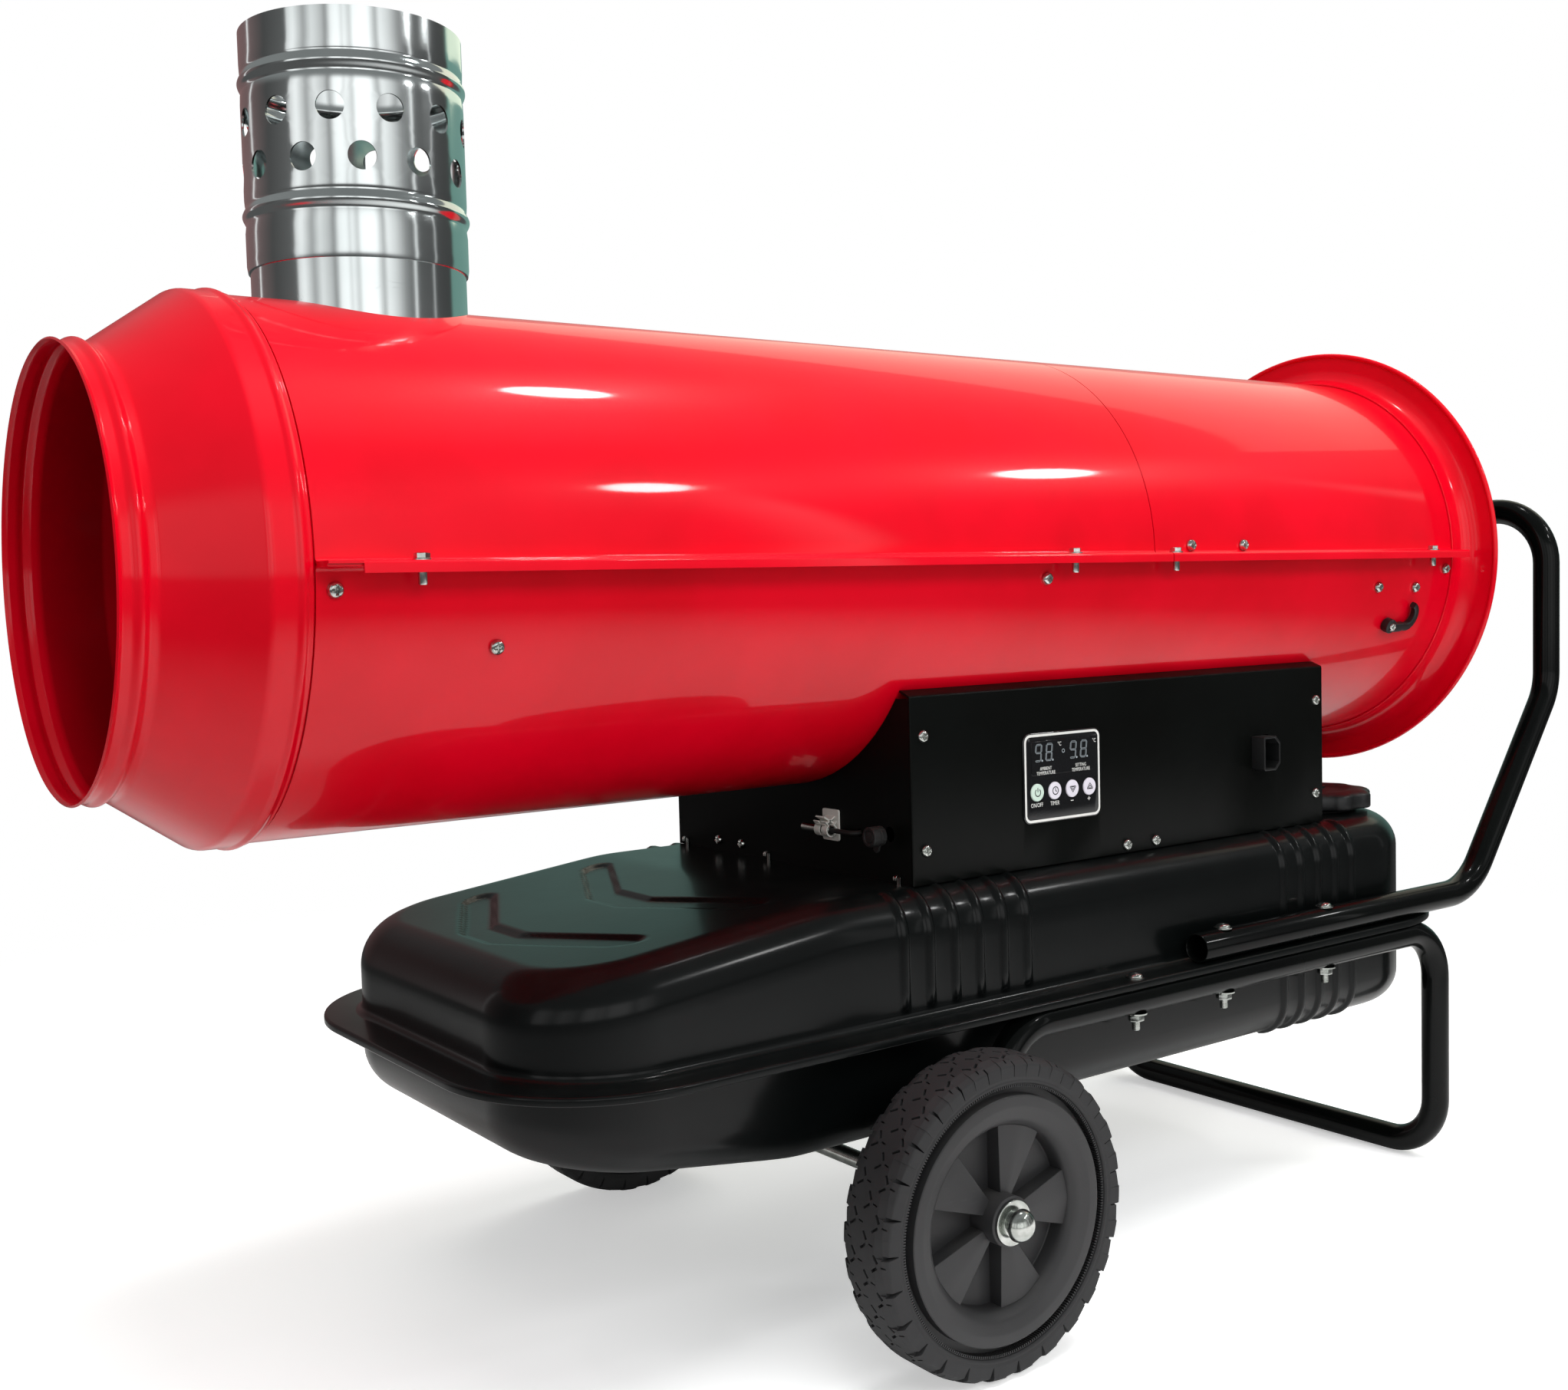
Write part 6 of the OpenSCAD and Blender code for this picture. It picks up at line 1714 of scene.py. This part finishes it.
    def build(self) -> None:
        """Builds the wheel."""
        self._tyre()
        rim = "wheel_rim_" + self.label
        self._piece(rim + "_moulding", self._rim(), WHEEL, (rim,), crease=40)
        self._piece("wheel_spokes_" + self.label, self._spokes(), WHEEL, bevel=0.5)
        self._piece("rim_groove_ribs_" + self.label, self._groove_ribs(), WHEEL)


@dataclass
class Axle:
    """The axle with its washers and the domed push-on caps."""

    z: float = 101.5
    face: float = 244.3

    def _ends(self, shape: Shape, out: float) -> Shape:
        """A shape at both ends of the axle, with its local z pointing outwards."""
        return shape.moved(*[placed(0, side * out, self.z, (0, side, 0)) for side in (-1, 1)])

    def build(self) -> None:
        """Builds domed caps on ribbed necks, outer washers with rounded rims, and the inner spacers."""
        neck = [[r, q + d] for q in (0.5, 1.95, 3.4) for r, d in ((8.5, 0), (7.7, 0.45), (7.7, 0.75), (8.5, 1.15))]
        dome = polar(1.0, np.linspace(0, math.pi / 2, 14)) * [10.4, 8.6] + [0, 5.2]
        cap = Shape().turned([[6.1, 0.0], [8.5, 0.0], *neck, [9.9, 4.95], *dome, [0, 10.5], [6.1, 9.9]], 64, "uv")
        Piece("axle_cap_domes", self._ends(cap, self.face + 1.6), ZINC, ("axle_caps",), crease=38).build()
        ring = rounded([[6.2, 0], [14.3, 0], [14.3, 1.6], [6.2, 1.6]], 0.35, 3, closed=True)
        tube = rounded([[6.2, 189.2], [9.0, 189.2], [9.0, 198.4], [6.2, 198.4]], 0.4, 3, closed=True)
        s = self._ends(Shape().turned(ring, 64, "uv"), self.face).plus(self._ends(Shape().turned(tube, 48, "uv"), 0))
        Piece("axle_washer_rings", s, ZINC, ("wheel_washers",), crease=38).build()
        dress("axle", ZINC)


# The heating and fuel parts inside

@dataclass
class Works:
    """Burner, exchanger, motor, fan and fuel line: the CAD's shapes, smoothed and finished."""

    plain: tuple[tuple, ...] = (
        ("heat_exchanger", HEAT), ("combustion_chamber", HEAT), ("exchanger_feet", STEEL), ("burner_tube", STEEL),
        ("flame_disc", HEAT, "base", Slot.STEEL), ("nozzle_holder", BRASS), ("ignition_electrodes", ZINC),
        ("motor", CAST), ("motor_bracket", STEEL),
        ("oil_pump", ALLOY), ("fuel_solenoid", PLASTIC), ("fuel_pipe", COPPER), ("fuel_filter", WHITE),
        ("fuel_hose", RUBBER), ("control_board", BOARD), ("ignition_transformer", PLASTIC),
        ("motor_shaft", ZINC, "fan_rotor"))

    def build(self) -> None:
        """Dresses every piece inside."""
        for row in self.plain:
            dress(*row)
        dress("fan", ALLOY, "fan_rotor", round_by=0.6)


# Camera, floor and lights

@dataclass
class Studio:
    """The camera at the photograph's angle, a pale floor, and soft lights."""

    turn: float = -36.1
    rise: float = 3.4
    roll: float = -1.5
    place: tuple[float, float, float] = (-0.8382, -0.9931, 0.4934)
    lens: float = 38.717
    ceiling: Color = (0.24, 0.25, 0.25)
    ground: Color = (0.1, 0.1, 0.1)
    lights: tuple[tuple, ...] = (
        ("ceiling", (0.1, -0.9, 3.0), (0.0, 0.0, 0.4), (2.6, 1.4), 72),
        ("near_strip", (-0.3, -2.6, 1.9), (0.0, 0.0, 0.4), (2.4, 0.7), 34),
        ("rear_top", (1.6, 1.2, 2.6), (0.3, 0.0, 0.5), (1.4, 1.0), 15))
    lamps: tuple[tuple, ...] = (
        ("lamp_high", (0.69, -0.32, 2.54), (-0.36, -0.12, 0.61), (0.2, 0.2), 4.5),
        ("lamp_low", (0.83, -1.68, 1.64), (-0.32, -0.15, 0.56), (0.17, 0.14), 2.6),
        ("lamp_rear", (1.56, -1.19, 1.73), (0.0, -0.15, 0.57), (0.22, 0.14), 3.6))
    walls: tuple[tuple[float, float | Color], ...] = (
        (-180, 0.9), (-172, 1.25), (-160, 0.45), (-152, 1.1), (-141, 0.7), (-137, 0.25),
        (-132, 1.35), (-124, 1.5), (-121, 0.9), (-119, 1.5), (-113, 0.75), (-110, 1.55), (-95, 1.6),
        (-87, 0.5), (-83, 1.3), (-73, 0.9), (-64, 0.4), (-54, 0.14), (-50.4, 1.6), (-49.4, 0.14), (-27.5, 0.1),
        (-26.5, 1.4), (-25.5, 0.09), (0, 0.07), (4, (0.2, 0.38, 0.33)), (66, (0.22, 0.38, 0.34)),
        (72, (0.24, 0.14, 0.14)), (118, (0.2, 0.13, 0.13)), (120, 1.8), (122, (0.2, 0.14, 0.14)), (150, 0.08),
        (172, 0.12))

    def _camera(self) -> None:
        """Sets the camera: it looks along (-sin turn cos rise, cos turn cos rise, -sin rise), rolled about that."""
        az, el, roll = (math.radians(v) for v in (self.turn, self.rise, self.roll))
        ahead = Vector((-math.sin(az) * math.cos(el), math.cos(az) * math.cos(el), -math.sin(el)))
        side = Vector((math.cos(az), math.sin(az), 0.0))
        up = side.cross(ahead)
        right = up * math.sin(roll) + side * math.cos(roll)
        top = up * math.cos(roll) - side * math.sin(roll)
        data = bpy.data.cameras.new("photo_camera")
        data.sensor_width, data.lens, data.clip_start, data.clip_end = 36.0, self.lens, 0.02, 100.0
        cam = linked("photo_camera", data)
        m = Matrix((right, top, -ahead)).transposed().to_4x4()
        m.translation = Vector(self.place)
        cam.matrix_world = m
        bpy.context.scene.camera = cam

    @staticmethod
    def _floor() -> None:
        """A pale floor, in metres, that fades into the white background away from the object."""
        shape = Shape().turned([[r, -0.0006] for r in (0.0, 0.8, 1.6, 3.0, 4.5, 6.0)], 96)
        mesh = bpy.data.meshes.new("floor")
        mesh.from_pydata(shape.points[0].tolist(), [], shape.faces[0].tolist())
        m = bpy.data.materials.new("pale_floor")
        m.use_nodes = True
        n = Nodes(m.node_tree)
        far = n.add("VectorMath", {0: n.place()}, operation="LENGTH").outputs["Value"]
        seen = n.add("LightPath").outputs["Is Camera Ray"]
        n.feed(m.node_tree.nodes["Principled BSDF"], {
            "Roughness": 0.7, "Specular IOR Level": 0.1, "Base Color": (0.94, 0.94, 0.94, 1.0),
            "Alpha": n.math("SUBTRACT", 1.0, n.ramp(far, 0.55, 1.7)), "Emission Color": (1.0, 1.0, 1.0, 1.0),
            "Emission Strength": n.times(seen, 0.45)})
        mesh.materials.append(m)
        floor = linked("floor", mesh)

    def _hall(self) -> None:
        """Sets the surroundings: white to the camera, and to all else a hall with pale and dark walls.

        The wall's colour follows the direction's azimuth, the ceiling is even, and the ground is dark.
        """
        world = bpy.data.worlds.new("white_room")
        world.use_nodes = True
        n = Nodes(world.node_tree)
        part = n.add("SeparateXYZ", {0: n.add("TexCoord").outputs["Generated"]}).outputs
        turn = n.math("ARCTAN2", part["Y"], part["X"])
        ramp = n.add("ValToRGB", {0: n.math("ADD", n.math("DIVIDE", turn, math.tau), 0.5)})
        stops = ramp.color_ramp.elements
        stops.remove(stops[1])
        for azimuth, color in self.walls:
            stop = stops[0] if azimuth == -180 else stops.new(azimuth / 360 + 0.5)
            stop.color = (*(color if isinstance(color, tuple) else (color,) * 3), 1.0)
        low = n.mix(n.ramp(part["Z"], -0.08, 0.0), self.ground, ramp.outputs[0])
        room = n.mix(n.ramp(part["Z"], 0.34, 0.5), low, self.ceiling)
        seen = n.add("LightPath").outputs["Is Camera Ray"]
        n.feed(world.node_tree.nodes["Background"], {0: n.mix(seen, room, (1.0, 1.0, 1.0))})
        bpy.context.scene.world = world

    @staticmethod
    def _light(name: str, place: tuple, aim: tuple, size: tuple, power: float, color: str = "ffffff",
               gloss: bool = False) -> Object:
        """Adds a soft light, an ellipse that shows in gloss or a rectangle that doesn't.

        Args:
            name: its name.
            place, aim: where it is, and the point that it faces, in metres.
            size: its two sizes.
            power: in watts.
            color: six hex digits.
            gloss: whether it shows in gloss.

        Returns:
            The light.
        """
        data = bpy.data.lights.new(name, "AREA")
        data.shape = "ELLIPSE" if gloss else "RECTANGLE"
        data.size, data.size_y, data.energy, data.color = *size, power, tint(color)
        lamp = linked(name, data)
        lamp.location = place
        lamp.rotation_euler = (Vector(aim) - Vector(place)).to_track_quat("-Z", "Y").to_euler()
        lamp.visible_glossy = gloss
        return lamp

    def build(self) -> None:
        """Sets up camera, floor, background and lights."""
        self._camera()
        self._floor()
        self._hall()
        bpy.context.scene.view_settings.view_transform = "Standard"
        for row in self.lights:
            self._light(*row)
        roof = self._light("warm_roof", (4.0, 2.3, 3.0), (4.0, 2.3, 0.0), (5.4, 4.4), 60, "fff8dc")
        roof.visible_glossy, roof.rotation_euler = True, (0.0, 0.0, math.radians(-59.3))
        for row in self.lamps:
            self._light(*row, gloss=True)


PARTS = [Studio(), Barrel(), Flue(), Tank(), ControlBox(), Display(), Probe(), Tubes(), Wheel(-1), Wheel(1), Axle(),
         Works()]


def main() -> None:
    """Builds the heater piece by piece."""
    logging.basicConfig(level=logging.INFO, format="%(name)s %(message)s")
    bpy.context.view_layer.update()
    for part in PARTS:
        part.build()
        log.info("built %s", type(part).__name__)


if __name__ == "__main__":
    main()
